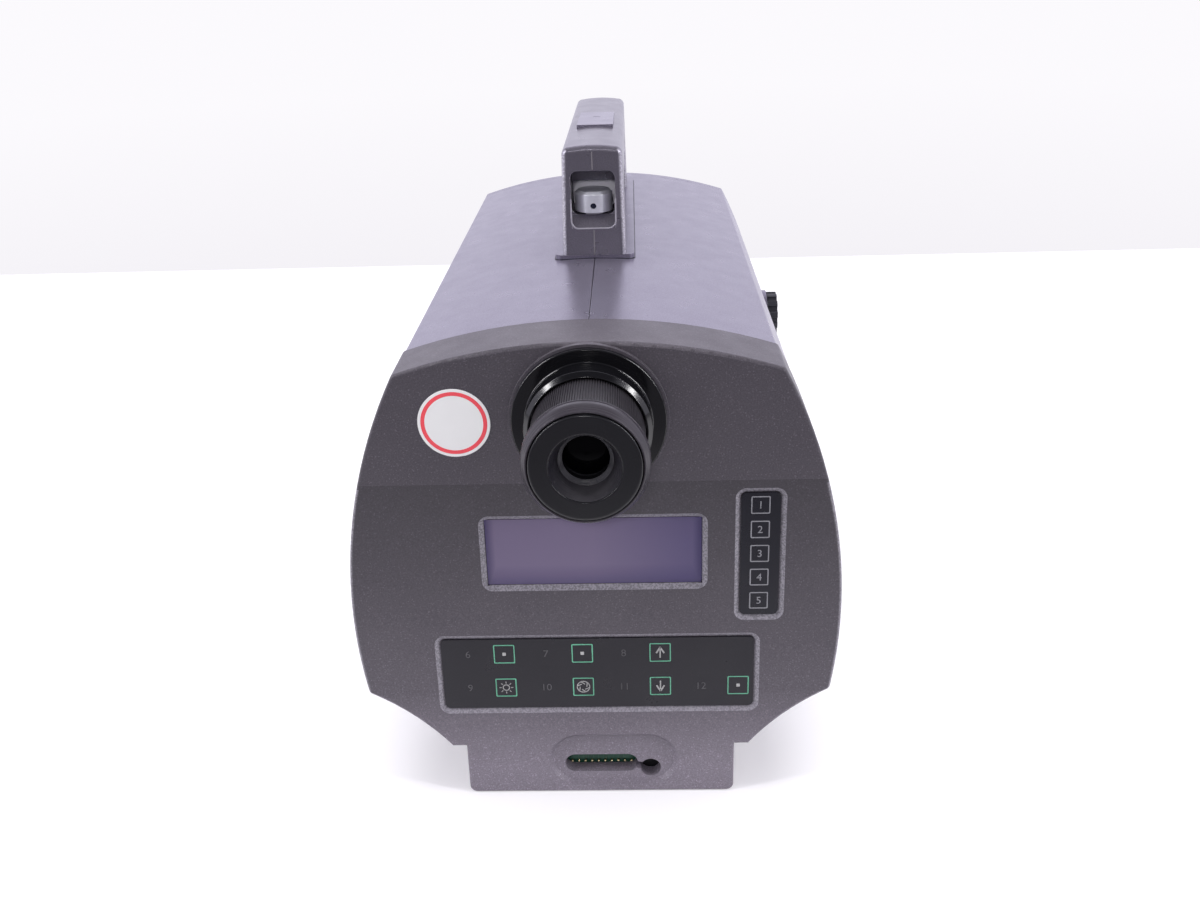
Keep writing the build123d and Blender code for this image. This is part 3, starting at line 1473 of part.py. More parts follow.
export(make_main_board(), "main_board")
export(make_serial_connector(), "serial_connector")
export(make_power_inlet(), "power_inlet")
export(make_switch_body(), "power_switch_body")
export(make_power_rocker(), "power_rocker")
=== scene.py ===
"""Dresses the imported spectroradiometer: finishes, printed keys, eyepiece, knobs, objective, stage and camera.

Sizes of pieces are in millimetres and are turned into metres where a mesh is made. Sizes in a finish and
in the studio are in metres.
"""

import functools
import logging
import math
from collections.abc import Callable
from dataclasses import dataclass, replace
from enum import Enum

import bmesh
import bpy
import numpy as np
from mathutils import Matrix


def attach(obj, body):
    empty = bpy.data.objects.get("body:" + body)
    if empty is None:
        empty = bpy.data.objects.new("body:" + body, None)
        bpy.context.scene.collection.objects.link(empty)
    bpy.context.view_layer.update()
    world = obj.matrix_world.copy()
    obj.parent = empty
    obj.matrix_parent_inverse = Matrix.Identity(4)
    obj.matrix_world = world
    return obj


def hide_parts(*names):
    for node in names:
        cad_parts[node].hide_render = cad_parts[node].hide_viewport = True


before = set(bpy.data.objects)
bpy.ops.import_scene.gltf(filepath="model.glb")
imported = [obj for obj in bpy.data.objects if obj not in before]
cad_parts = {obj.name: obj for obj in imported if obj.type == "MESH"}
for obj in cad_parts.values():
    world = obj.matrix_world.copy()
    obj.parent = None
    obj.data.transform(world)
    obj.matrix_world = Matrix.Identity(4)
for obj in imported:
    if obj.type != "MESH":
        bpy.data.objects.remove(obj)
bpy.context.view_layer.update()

LOG = logging.getLogger("spectroradiometer")
MM = 0.001
WELD_M = 1e-7
COLLAPSED_M = 1e-8
LONGEST_SETBACK_SHARE = 0.45
POINT_SHARE = 0.01
FONT_SIZE_SHARE = 1.38
FONT_EXTRUDE = 0.02
FONT_STEPS = 3

Flat = tuple[float, float]
Colour = tuple[float, float, float]
Point = tuple[float, float, float]
Socket = bpy.types.NodeSocket
Node = bpy.types.Node
Mesh = bpy.types.Mesh


class Slot(Enum):
    """The record's material slots that this scene dresses."""

    CASE = "case_plastic"
    HANDLE = "handle_metal"
    CAST = "cast"
    BLACK = "black_metal"
    BARE = "bare_metal"
    STEEL = "steel"
    BRASS = "brass"
    GLASS = "glass"
    MIRROR = "mirror"
    FILM = "film"
    DISPLAY = "display_glass"
    BOARD = "board"
    PLATE = "plate"
    KNOB = "black_plastic"


class Axis(Enum):
    """A turning axis, as the two directions across it and the one along it."""

    Y_OUT = ((1, 0, 0), (0, 0, 1), (0, -1, 0))
    Y_FAR = ((1, 0, 0), (0, 0, 1), (0, 1, 0))
    Z_UP = ((1, 0, 0), (0, 1, 0), (0, 0, 1))
    Z_DOWN = ((1, 0, 0), (0, 1, 0), (0, 0, -1))


# Surfaces worked out as arrays


@dataclass
class Skin:
    """A surface as points in millimetres and faces of four corners."""

    points: np.ndarray
    faces: np.ndarray

    @staticmethod
    def joined(skins: list["Skin"]) -> "Skin":
        """Puts several skins into one.

        Args:
            skins: The skins, in any order.

        Returns:
            One skin with all their points and faces.
        """
        starts = np.cumsum([0] + [len(skin.points) for skin in skins[:-1]])
        faces = np.concatenate([skin.faces + start for skin, start in zip(skins, starts)])
        return Skin(np.concatenate([skin.points for skin in skins]), faces)

    def mesh(self) -> Mesh:
        """The skin as a mesh in metres.

        Returns:
            The mesh, not yet welded.
        """
        made = bpy.data.meshes.new("skin")
        made.from_pydata((self.points * MM).tolist(), [], self.faces.tolist())
        return made


def grid_skin(points: np.ndarray, ring: bool = True) -> Skin:
    """Joins a grid of points into faces; corner (i, j) meets (i + 1, j), (i + 1, j + 1) and (i, j + 1).

    Args:
        points: Array of rows by columns by 3; the last column joins the first.
        ring: Whether the last row joins the first too.

    Returns:
        The skin of the grid.
    """
    rows, columns = points.shape[:2]
    row = np.arange(rows if ring else rows - 1)[:, None]
    column = np.arange(columns)[None, :]
    start, next_start = row * columns, (row + 1) % rows * columns
    next_column = (column + 1) % columns
    corners = [start + column, next_start + column, next_start + next_column, start + next_column]
    return Skin(points.reshape(-1, 3), np.stack([corner.ravel() for corner in corners], axis=1))


def capped(rings: np.ndarray) -> Skin:
    """Closes a tube at both ends with the middle point of its first and last ring.

    Args:
        rings: Array of rings by points by 3.

    Returns:
        The closed skin.
    """
    ends = [np.broadcast_to(rings[row].mean(axis=0), (1, *rings.shape[1:])) for row in (0, -1)]
    return grid_skin(np.concatenate([ends[0], rings, ends[1]]), False)


def soften(profile: list[Flat], setback: float, steps: int = 4, closed: bool = True) -> np.ndarray:
    """Rounds the corners of an outline.

    A corner C between A and B becomes (1 - t)^2 P + 2 t (1 - t) C + t^2 Q, where P and Q lie the setback
    away from C towards A and B, or at most a share of that side.

    Args:
        profile: The outline's corners.
        setback: How far from a corner its curve starts.
        steps: How many spans each curve has.
        closed: Whether the outline is a loop.

    Returns:
        The rounded outline, points by 2.
    """
    corner = np.array(profile, float)
    ways = [np.roll(corner, shift, axis=0) - corner for shift in (1, -1)]
    shares = [setback / np.linalg.norm(way, axis=1, keepdims=True) for way in ways]
    start, end = (corner + way * np.minimum(share, LONGEST_SETBACK_SHARE) for way, share in zip(ways, shares))
    t = np.linspace(0, 1, steps + 1)[None, :, None]
    curve = (1 - t) ** 2 * start[:, None] + 2 * t * (1 - t) * corner[:, None] + t ** 2 * end[:, None]
    if closed:
        return curve.reshape(-1, 2)
    return np.concatenate([corner[:1], curve[1:-1].reshape(-1, 2), corner[-1:]])


def supported(profile: np.ndarray, ring: bool, margin: float = 0.05, shortest: float = 6.0) -> np.ndarray:
    """Adds a point near both ends of every long side, p + m u and q - m u, to keep the shading of flats flat.

    Args:
        profile: Points by 2.
        ring: Whether the last point joins the first.
        margin: How far from the ends.
        shortest: Sides up to this many margins are left.

    Returns:
        The profile with its added points.
    """
    starts = np.asarray(profile, float)
    ends = np.roll(starts, -1, axis=0)
    run = ends - starts
    length = np.linalg.norm(run, axis=1, keepdims=True)
    step = margin * run / np.maximum(length, 1e-9)
    wanted = length[:, 0] > shortest * margin
    wanted[-1] &= ring
    rows = np.stack([starts, starts + step, ends - step], axis=1)
    return rows[np.stack([np.ones(len(starts), bool), wanted, wanted], axis=1)]


def once_round(steps: int) -> np.ndarray:
    """Angles that go once round in equal steps."""
    return np.linspace(0, 2 * math.pi, steps, endpoint=False)


def spokes(angle: np.ndarray) -> np.ndarray:
    """The direction (cos a, sin a) of each angle, on a new last axis."""
    return np.stack([np.cos(angle), np.sin(angle)], axis=-1)


def lathe(profile: np.ndarray, centre: Point, axis: Axis, steps: int = 144, ring: bool = True,
          ripple: np.ndarray | None = None) -> Skin:
    """Turns an outline of (radius, distance along the axis) about an axis.

    Point (i, j) = centre + r_i (cos a_j U + sin a_j V) + d_i W, where U and V lie across the axis, W lies
    along it and a_j = 2 pi j / steps. A ripple of rows by steps is added to the radius.

    Args:
        profile: Points by 2.
        centre: The point on the axis at distance 0.
        axis: The directions across and along.
        steps: How many points go round.
        ring: Whether the outline is a loop.
        ripple: What is added to each point's radius.

    Returns:
        The turned skin.
    """
    profile = np.asarray(profile, float) if ripple is not None else supported(profile, ring)
    frame_of_axis = np.array(axis.value, float)
    radius = profile[:, :1] + (0 if ripple is None else ripple)
    radius = np.broadcast_to(radius, (len(profile), steps))[..., None]
    across = radius * (spokes(once_round(steps)) @ frame_of_axis[:2])
    return grid_skin(np.array(centre, float) + across + profile[:, 1, None, None] * frame_of_axis[2], ring)


def carried(section: np.ndarray, path: np.ndarray, up: Point) -> Skin:
    """Carries a closed section along an open path and closes both ends with a point.

    Point (i, j) = path_i + s_j N_i + t_j up, where (s, t) is the section and N_i = tangent_i x up.

    Args:
        section: Closed outline, points by 2.
        path: Points by 3.
        up: The direction that the section's second number goes in.

    Returns:
        The closed skin.
    """
    rise = np.array(up, float)
    side = np.cross(np.gradient(path, axis=0), rise)
    side /= np.linalg.norm(side, axis=1, keepdims=True)
    return capped(path[:, None] + section[None, :, :1] * side[:, None] + section[None, :, 1:] * rise)


def slab(outer: np.ndarray, inner: np.ndarray, low: float, high: float) -> tuple[np.ndarray, np.ndarray]:
    """A flat ring between two outlines of the same number of points, from height low to high.

    Args:
        outer: The outer outline, points by 2.
        inner: The inner outline, or one shrunk to almost a point for a full plate.
        low: The lower height.
        high: The upper height.

    Returns:
        Four rows of flat points and their heights.
    """
    heights = np.array([low, high, high, low])[:, None] * np.ones(len(outer))
    return np.stack([outer, outer, inner, inner]), heights


def rounded_square(side: float, radius: float, steps: int = 6) -> np.ndarray:
    """The outline of a square with round corners: r (cos a, sin a) plus the corner's own middle.

    Args:
        side: The square's side.
        radius: The corners' radius.
        steps: How many spans each corner has.

    Returns:
        Points by 2.
    """
    quarter = math.pi / 2
    angle = np.arange(4)[:, None] * quarter + np.linspace(0, quarter, steps + 1)
    middle = np.array([(1, 1), (-1, 1), (-1, -1), (1, -1)])[:, None] * (side / 2 - radius)
    return (radius * spokes(angle) + middle).reshape(-1, 2)


def circle(radius: float, steps: int = 48) -> np.ndarray:
    """A circle's points by 2."""
    return radius * spokes(once_round(steps))


def flat_text(label: str, height: float) -> tuple[Mesh, np.ndarray]:
    """Letters lying in x and y with their thickness along z.

    Args:
        label: What they say.
        height: How tall they are.

    Returns:
        A mesh with the letters' faces, and its points in millimetres about their middle.
    """
    curve = bpy.data.curves.new("label", "FONT")
    curve.body = label
    curve.size = height * FONT_SIZE_SHARE
    curve.align_x = "CENTER"
    curve.extrude = FONT_EXTRUDE
    curve.resolution_u = FONT_STEPS
    holder = bpy.data.objects.new("label", curve)
    mesh = bpy.data.meshes.new_from_object(holder)
    bpy.data.objects.remove(holder)
    points = np.zeros(len(mesh.vertices) * 3)
    mesh.vertices.foreach_get("co", points)
    points = points.reshape(-1, 3)
    return mesh, points - (points.min(axis=0) + points.max(axis=0)) / 2


def laid(mesh: Mesh, points: np.ndarray) -> Mesh:
    """Gives letters their points, in millimetres.

    Args:
        mesh: The letters' mesh.
        points: Where its points lie.

    Returns:
        The mesh.
    """
    mesh.vertices.foreach_set("co", (points * MM).ravel())
    mesh.update()
    return mesh


def linked(name: str, data: bpy.types.ID) -> bpy.types.Object:
    """Makes an object and links it to the scene.

    Args:
        name: The object's name.
        data: Its mesh, camera or lamp.

    Returns:
        The object.
    """
    made = bpy.data.objects.new(name, data)
    bpy.context.scene.collection.objects.link(made)
    return made


def piece(name: str, shape: Skin | list[Mesh], finish: "Finish", body: str = "instrument",
          replaces: tuple[str, ...] = (), sharp_deg: float = 40.0) -> None:
    """Makes a mesh object of a skin or of letters and hangs it on a body of the frame.

    Args:
        name: The piece's name.
        shape: Its skin, or its letters' meshes.
        finish: What it is dressed with.
        body: The body that it rides on.
        replaces: The CAD nodes that it stands for.
        sharp_deg: Edges sharper than this stay crisp on a skin.
    """
    turned = isinstance(shape, Skin)
    work = bmesh.new()
    for source in [shape.mesh()] if turned else shape:
        work.from_mesh(source)
        bpy.data.meshes.remove(source)
    bmesh.ops.remove_doubles(work, verts=work.verts, dist=WELD_M)
    if turned:
        bmesh.ops.dissolve_degenerate(work, dist=COLLAPSED_M, edges=work.edges)
    bmesh.ops.recalc_face_normals(work, faces=work.faces)
    mesh = bpy.data.meshes.new(name)
    work.to_mesh(mesh)
    work.free()
    if turned:
        mesh.shade_smooth()
        mesh.set_sharp_from_angle(angle=math.radians(sharp_deg))
    mesh.materials.append(finish.material())
    made = linked(name, mesh)
    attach(made, body)
    if replaces:
        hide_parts(*replaces)
    LOG.info("%s: %d faces on %s", name, len(mesh.polygons), body)


# Shader node groups


class Graph:
    """Adds nodes to a shader tree and joins them."""

    def __init__(self, tree: bpy.types.NodeTree) -> None:
        """Keeps the tree."""
        self.tree = tree

    @classmethod
    def fresh(cls, holder: bpy.types.Material | bpy.types.World) -> "Graph":
        """Empties the tree of a material or a world.

        Args:
            holder: What the tree belongs to.

        Returns:
            The tree's graph.
        """
        holder.use_nodes = True
        holder.node_tree.nodes.clear()
        return cls(holder.node_tree)

    def feed(self, target: Node, **values: object) -> None:
        """Joins sockets to a node's inputs, or sets the inputs' own values.

        Args:
            target: The node.
            values: What goes into each input, by its name with _ for a space, or its number after a _.
        """
        for key, value in values.items():
            socket = target.inputs[int(key[1:]) if key[0] == "_" else key.replace("_", " ")]
            if isinstance(value, Socket):
                self.tree.links.new(value, socket)
            elif value is not None:
                opaque = socket.type == "RGBA" and len(value) == 3
                socket.default_value = (*value, 1.0) if opaque else value

    def node(self, kind: str, fields: dict[str, object] | None = None, **values: object) -> Node:
        """Adds a node.

        Args:
            kind: The node's type, without its first word.
            fields: The node's own settings.
            values: What goes into its inputs, as for feed.

        Returns:
            The node.
        """
        made = self.tree.nodes.new("ShaderNode" + kind)
        for key, value in (fields or {}).items():
            setattr(made, key, value)
        self.feed(made, **values)
        return made

    def math(self, operation: str, first: object, second: object = None, clamp: bool = False) -> Socket:
        """A Math node's result."""
        return self.node("Math", {"operation": operation, "use_clamp": clamp}, _0=first, _1=second).outputs[0]

    def times(self, first: object, second: object) -> Socket:
        """A product."""
        return self.math("MULTIPLY", first, second)

    def plus(self, first: object, second: object) -> Socket:
        """A sum."""
        return self.math("ADD", first, second)

    def rest(self, share: Socket) -> Socket:
        """What a share leaves of 1."""
        return self.math("SUBTRACT", 1.0, share)

    def vector(self, operation: str, first: object, second: object = None) -> Node:
        """A Vector Math node."""
        return self.node("VectorMath", {"operation": operation}, _0=first, _1=second)

    def axis(self, value: Socket, index: int) -> Socket:
        """One of the three numbers of a vector."""
        return self.node("SeparateXYZ", _0=value).outputs[index]

    def span(
        self, value: object, low: float, high: float, to_low: float = 0.0, to_high: float = 1.0,
    ) -> Socket:
        """A Map Range node's result, held between its ends."""
        return self.node("MapRange", _0=value, _1=low, _2=high, _3=to_low, _4=to_high).outputs[0]

    def mix(self, factor: object, first: object, second: object) -> Socket:
        """A Mix node's colour."""
        return self.node("Mix", {"data_type": "RGBA"}, _0=factor, _6=first, _7=second).outputs[2]

    def noise(self, place: Socket, scale: object, detail: float = 2.0) -> Socket:
        """A Noise Texture's value."""
        return self.node("TexNoise", Vector=place, Scale=scale, Detail=detail).outputs[0]

    def place(self) -> Socket:
        """The Object coordinates."""
        return self.node("TexCoord").outputs["Object"]

    def facing(self) -> Socket:
        """The surface's own normal."""
        return self.node("NewGeometry").outputs["Normal"]

    def bump(self, height: Socket, distance: float, normal: Socket) -> Socket:
        """A Bump node's normal."""
        return self.node("Bump", Height=height, Distance=distance, Normal=normal).outputs[0]

    def group(self, effect: Callable[[], bpy.types.NodeTree], **values: object) -> Node:
        """Places a shared group with its own values."""
        return self.node("Group", {"node_tree": effect()}, **values)


VECTOR, NUMBER = "NodeSocketVector", "NodeSocketFloat"


def shared(name: str, inputs: dict[str, str], outputs: dict[str, str]) -> Callable:
    """Turns a function of a graph and its input sockets into a node group that is built once.

    Args:
        name: The group's name.
        inputs: The kind of each input.
        outputs: The kind of each output, in the order in which the function gives them.

    Returns:
        What turns the function into one that gives the group's tree.
    """
    def wrap(fill: Callable[..., tuple[Socket, ...]]) -> Callable[[], bpy.types.NodeTree]:
        """Takes the function that fills the group.

        Args:
            fill: Gives the outputs for a graph and its input sockets.

        Returns:
            What gives the group's tree.
        """
        @functools.cache
        def build() -> bpy.types.NodeTree:
            """Builds the group.

            Returns:
                The group's tree.
            """
            tree = bpy.data.node_groups.new(name, "ShaderNodeTree")
            for way, sockets in (("INPUT", inputs), ("OUTPUT", outputs)):
                for label, kind in sockets.items():
                    tree.interface.new_socket(name=label, in_out=way, socket_type=kind)
            entry, end = tree.nodes.new("NodeGroupInput"), tree.nodes.new("NodeGroupOutput")
            results = fill(Graph(tree), *entry.outputs[:len(inputs)])
            for target, value in zip(end.inputs, results):
                tree.links.new(value, target)
            return tree
        return build
    return wrap


@shared(
    "moulded_grain", {"Place": VECTOR, "Scale": NUMBER, "Specks": NUMBER}, {"Height": NUMBER, "Tone": NUMBER},
)
def moulded_grain(graph: Graph, place: Socket, scale: Socket, specks: Socket) -> tuple[Socket, ...]:
    """Moulded grain: small pits over a soft unevenness, with a few bright specks.

    Args:
        graph: The group's graph.
        place: Where the surface is.
        scale: How fine the pits are.
        specks: How bright the specks are.

    Returns:
        The height and what multiplies the colour.
    """
    coarse_scale, cell_scale = 0.28, 1.35
    fine_depth, coarse_depth = 0.75, 0.6
    speck_span, fine_span, fine_tones = (0.90, 1.0), (0.35, 0.65), (0.84, 1.16)
    fine = graph.noise(place, scale, 3.0)
    coarse = graph.noise(place, graph.times(scale, coarse_scale))
    height = graph.plus(graph.times(fine, fine_depth), graph.times(coarse, coarse_depth))
    cells = graph.node("TexVoronoi", Vector=place, Scale=graph.times(scale, cell_scale))
    pick = graph.node("SeparateColor", _0=cells.outputs["Color"]).outputs[0]
    speck = graph.times(graph.span(pick, *speck_span), specks)
    return height, graph.plus(graph.span(fine, *fine_span, *fine_tones), speck)


@shared(
    "edge_wear", {"Place": VECTOR, "Width": NUMBER, "Rounding": NUMBER}, {"Mask": NUMBER, "Normal": VECTOR},
)
def edge_wear(graph: Graph, place: Socket, width: Socket, rounding: Socket) -> tuple[Socket, ...]:
    """Edge wear: where the rounded normal leaves the flat one, broken up by noise.

    Args:
        graph: The group's graph.
        place: Where the surface is.
        width: How far the wear reaches from an edge.
        rounding: How far the shading rounds an edge.

    Returns:
        The wear's mask and the rounded normal.
    """
    samples, break_scale = {"samples": 6}, 1800.0
    worn, rounded = (graph.node("Bevel", samples, Radius=radius).outputs[0] for radius in (width, rounding))
    bend = graph.rest(graph.vector("DOT_PRODUCT", worn, graph.facing()).outputs["Value"])
    rough = graph.span(graph.noise(place, break_scale, 3.0), 0.35, 0.65, 0.35, 1.0)
    return graph.times(graph.span(bend, 0.01, 0.12), rough), rounded


@shared(
    "rubbed_slopes",
    {"Place": VECTOR, "Upright": NUMBER, "Lowest": NUMBER, "Highest": NUMBER}, {"Mask": NUMBER},
)
def rubbed_slopes(
    graph: Graph, place: Socket, upright: Socket, low: Socket, high: Socket,
) -> tuple[Socket, ...]:
    """Worn slopes between the front and the sides, partly a painted highlight on lit bevels and rounded edges:
    4 ny^2 (nx^2 + share nz^2), flecked, between heights.

    Args:
        graph: The group's graph.
        place: Where the surface is.
        upright: The share with which slopes up and down count.
        low: The lowest height.
        high: The highest height.

    Returns:
        The mask.
    """
    fleck_scale, steepness = 1500.0, 4.0
    parts = [graph.axis(graph.facing(), index) for index in range(3)]
    squares = [graph.times(part, part) for part in parts]
    aside = graph.plus(squares[0], graph.times(squares[2], upright))
    slope = graph.span(graph.times(graph.times(squares[1], aside), steepness), 0.12, 0.7)
    rough = graph.span(graph.noise(place, fleck_scale), 0.40, 0.60, 0.40, 1.0)
    height = graph.axis(place, 2)
    band = graph.times(graph.math("GREATER_THAN", height, low), graph.math("LESS_THAN", height, high))
    return (graph.times(graph.times(slope, rough), band),)


@shared("settled_dust", {"Place": VECTOR}, {"Mask": NUMBER})
def settled_dust(graph: Graph, place: Socket) -> tuple[Socket, ...]:
    """Dust: more on faces that look up, in soft patches with small flecks.

    Args:
        graph: The group's graph.
        place: Where the surface is.

    Returns:
        The mask.
    """
    patch_scale, fleck_scale, patch_share = 38.0, 900.0, 0.5
    up = graph.span(graph.axis(graph.facing(), 2), -0.2, 1.0, 0.25, 1.0)
    patch = graph.span(graph.noise(place, patch_scale, 5.0), 0.40, 0.75)
    fleck = graph.span(graph.noise(place, fleck_scale, 1.0), 0.70, 0.78)
    return (graph.times(graph.math("ADD", graph.times(patch, patch_share), fleck, clamp=True), up),)


@shared(
    "turning_marks",
    {"Place": VECTOR, "Centre": VECTOR, "Across": VECTOR}, {"Height": NUMBER, "Tone": NUMBER},
)
def turning_marks(graph: Graph, place: Socket, centre: Socket, across: Socket) -> tuple[Socket, ...]:
    """Turning marks: fine rings about an axis and along it, and a slight unevenness.

    Args:
        graph: The group's graph.
        place: Where the surface is.
        centre: A point on the axis.
        across: 1 for the directions across the axis and 0 for the one along it.

    Returns:
        The marks' height and what multiplies the colour.
    """
    rings_per_metre, cloud_scale = 5200.0, 90.0
    offset = graph.vector("SUBTRACT", place, centre).outputs[0]
    spoke = graph.vector("MULTIPLY", offset, across).outputs[0]
    rest = graph.vector("SUBTRACT", offset, spoke).outputs[0]
    radius, along = (graph.vector("LENGTH", part).outputs["Value"] for part in (spoke, rest))
    counted = [graph.times(length, rings_per_metre) for length in (radius, along)]
    rings = graph.noise(graph.node("CombineXYZ", _0=counted[0], _1=counted[1]).outputs[0], 1.0, 3.0)
    cloud = graph.span(graph.noise(place, cloud_scale, 3.0), 0.3, 0.7, 0.92, 1.08)
    return rings, graph.times(graph.span(rings, 0.3, 0.7, 0.9, 1.1), cloud)


# Finishes


@dataclass(frozen=True)
class Finish:
    """A plain finish: a colour with a soft unevenness, worn edges and dust."""

    name: str
    colour: Colour
    roughness: float
    metallic: float = 0.0
    ior: float = 1.5
    worn_colour: Colour = (0.35, 0.34, 0.37)
    dust_colour: Colour = (0.62, 0.60, 0.62)
    wear_width: float = 0.00035
    rounding: float = 0.0003
    wear: float = 0.25
    dust: float = 0.05
    uneven: float = 0.08

    def material(self) -> bpy.types.Material:
        """The finish as a material, made once.

        Returns:
            The material.
        """
        name = "finish_" + self.name
        if name in bpy.data.materials:
            return bpy.data.materials[name]
        made = bpy.data.materials.new(name)
        graph = Graph.fresh(made)
        shader = graph.node("BsdfPrincipled", IOR=self.ior, Metallic=self.metallic)
        graph.node("OutputMaterial", Surface=shader.outputs[0])
        self.dress(graph, shader)
        return made

    def edges(self, graph: Graph) -> Node:
        """The edge wear group with this finish's widths."""
        return graph.group(edge_wear, Place=graph.place(), Width=self.wear_width, Rounding=self.rounding)

    def painted(self, graph: Graph, tone: Socket, mask: Socket) -> Socket:
        """The colour with its tone, worn edges and dust.

        Args:
            graph: The material's graph.
            tone: What multiplies the colour.
            mask: Where the edges are worn.

        Returns:
            The colour.
        """
        red, green, blue = (graph.times(tone, part) for part in self.colour)
        plain = graph.node("CombineXYZ", _0=red, _1=green, _2=blue).outputs[0]
        worn = graph.mix(graph.times(mask, self.wear), plain, self.worn_colour)
        dust = graph.group(settled_dust, Place=graph.place()).outputs[0]
        return graph.mix(graph.times(dust, self.dust), worn, self.dust_colour)

    def sheen(
        self, graph: Graph, cloud: Socket, spread: float, low: float = 0.3, high: float = 0.7,
    ) -> Socket:
        """The roughness, a share under its value where the cloud is low and as much over it elsewhere."""
        return graph.span(cloud, low, high, self.roughness * (1 - spread), self.roughness * (1 + spread))

    def dress(self, graph: Graph, shader: Node) -> None:
        """Joins the finish to the shader.

        Args:
            graph: The material's graph.
            shader: Its shader.
        """
        edges = self.edges(graph)
        tone = graph.span(graph.noise(graph.place(), 60.0, 4.0), 0.3, 0.7, 1 - self.uneven, 1 + self.uneven)
        colour = self.painted(graph, tone, edges.outputs["Mask"])
        sheen = self.sheen(graph, graph.noise(graph.place(), 140.0, 3.0), 0.15)
        graph.feed(shader, Base_Color=colour, Roughness=sheen, Normal=edges.outputs["Normal"])


@dataclass(frozen=True)
class MouldedPlastic(Finish):
    """Grained moulding: pits, specks and a sheen, and where wanted a lower part that is a shallow hollow, with
    painted shade under its top and painted light towards its foot.
    """

    grain_scale: float = 1500.0
    grain_depth: float = 0.00004
    specks: float = 0.6
    hollow_top: float = 0.0
    hollow_slopes: Flat = (0.0, 0.0)
    low_tones: tuple[float, float, float] = (1.0, 1.0, 1.0)
    middle_share: float = 0.35
    foot: float = 0.012
    rubbed: float = 0.0
    rubbed_upright: float = 1.0
    rubbed_band: Flat = (0.0, 1.0)

    def dress(self, graph: Graph, shader: Node) -> None:
        """Joins the grain, the hollow with its painted shade and light, and the wear with its painted slope
        highlights to the shader.

        Args:
            graph: The material's graph.
            shader: Its shader.
        """
        place, edges = graph.place(), self.edges(graph)
        grain = graph.group(moulded_grain, Place=place, Scale=self.grain_scale, Specks=self.specks)
        tone, mask, normal = grain.outputs["Tone"], edges.outputs["Mask"], edges.outputs["Normal"]
        if self.hollow_top:
            # painted shade under the crease and painted light towards the foot, multiplied into the colour
            tone = graph.times(tone, self.low_tone(graph))
            normal = graph.bump(self.sweep(graph), 1.0, normal)
        # worn slopes that are partly painted highlight on lit bevels and edges
        if self.rubbed:
            low, high = self.rubbed_band
            slopes = graph.group(
                rubbed_slopes, Place=place, Upright=self.rubbed_upright, Lowest=low, Highest=high,
            )
            mask = graph.math("MAXIMUM", mask, graph.times(slopes.outputs[0], self.rubbed))
        graph.feed(
            shader, Base_Color=self.painted(graph, tone, mask),
            Roughness=self.sheen(graph, graph.noise(place, 110.0, 3.0), 0.1),
            Normal=graph.bump(grain.outputs["Height"], self.grain_depth, normal),
        )

    def low_tone(self, graph: Graph) -> Socket:
        """The lower part's painted shade and light: darkest under its top, plain in the middle and palest at
        the foot.

        Args:
            graph: The material's graph.

        Returns:
            What multiplies the colour, 1 above the hollow.
        """
        height = graph.axis(graph.place(), 2)
        top, middle, foot = self.low_tones
        middle_height = self.hollow_top * self.middle_share
        upper = graph.span(height, self.hollow_top, middle_height, top, middle)
        ramp = graph.plus(upper, graph.span(height, middle_height, self.foot, 0.0, foot - middle))
        above = graph.math("GREATER_THAN", height, self.hollow_top)
        return graph.plus(ramp, graph.times(above, graph.rest(ramp)))

    def sweep(self, graph: Graph) -> Socket:
        """The hollow's height: top (-a w + (a + b) w^2 / 2), with w = (top - z) / top held above 0.

        Args:
            graph: The material's graph.

        Returns:
            The height, in metres.
        """
        drop = graph.math("SUBTRACT", self.hollow_top, graph.axis(graph.place(), 2))
        share = graph.math("DIVIDE", drop, self.hollow_top, clamp=True)
        fall, rise = self.hollow_slopes
        square = graph.times(graph.times(share, share), (fall + rise) / 2)
        return graph.times(graph.plus(graph.times(share, -fall), square), self.hollow_top)


@dataclass(frozen=True)
class TurnedMetal(Finish):
    """Metal or anodised metal turned on a lathe about one axis."""

    centre: Point = (0.0, 0.0, 0.0)
    across: Point = (1.0, 0.0, 1.0)
    mark_depth: float = 0.000004

    def dress(self, graph: Graph, shader: Node) -> None:
        """Joins the turning marks and the wear to the shader.

        Args:
            graph: The material's graph.
            shader: Its shader.
        """
        edges = self.edges(graph)
        marks = graph.group(turning_marks, Place=graph.place(), Centre=self.centre, Across=self.across)
        tone = marks.outputs["Tone"]
        graph.feed(
            shader, Base_Color=self.painted(graph, tone, edges.outputs["Mask"]),
            Roughness=self.sheen(graph, tone, -0.2, 0.8, 1.2),
            Normal=graph.bump(marks.outputs["Height"], self.mark_depth, edges.outputs["Normal"]),
        )


@dataclass(frozen=True)
class ClearGlass(Finish):
    """Clear glass with a thin coating and a faint smear."""

    film_nm: float = 320.0
    film_ior: float = 1.38

    def dress(self, graph: Graph, shader: Node) -> None:
        """Sets the shader's own sockets and joins the smear.

        Args:
            graph: The material's graph.
            shader: Its shader.
        """
        smear = self.sheen(graph, graph.noise(graph.place(), 70.0, 4.0), 0.6, 0.35, 0.7)
        graph.feed(
            shader, Base_Color=self.colour, Transmission_Weight=1.0, Roughness=smear,
            Thin_Film_Thickness=self.film_nm, Thin_Film_IOR=self.film_ior,
        )


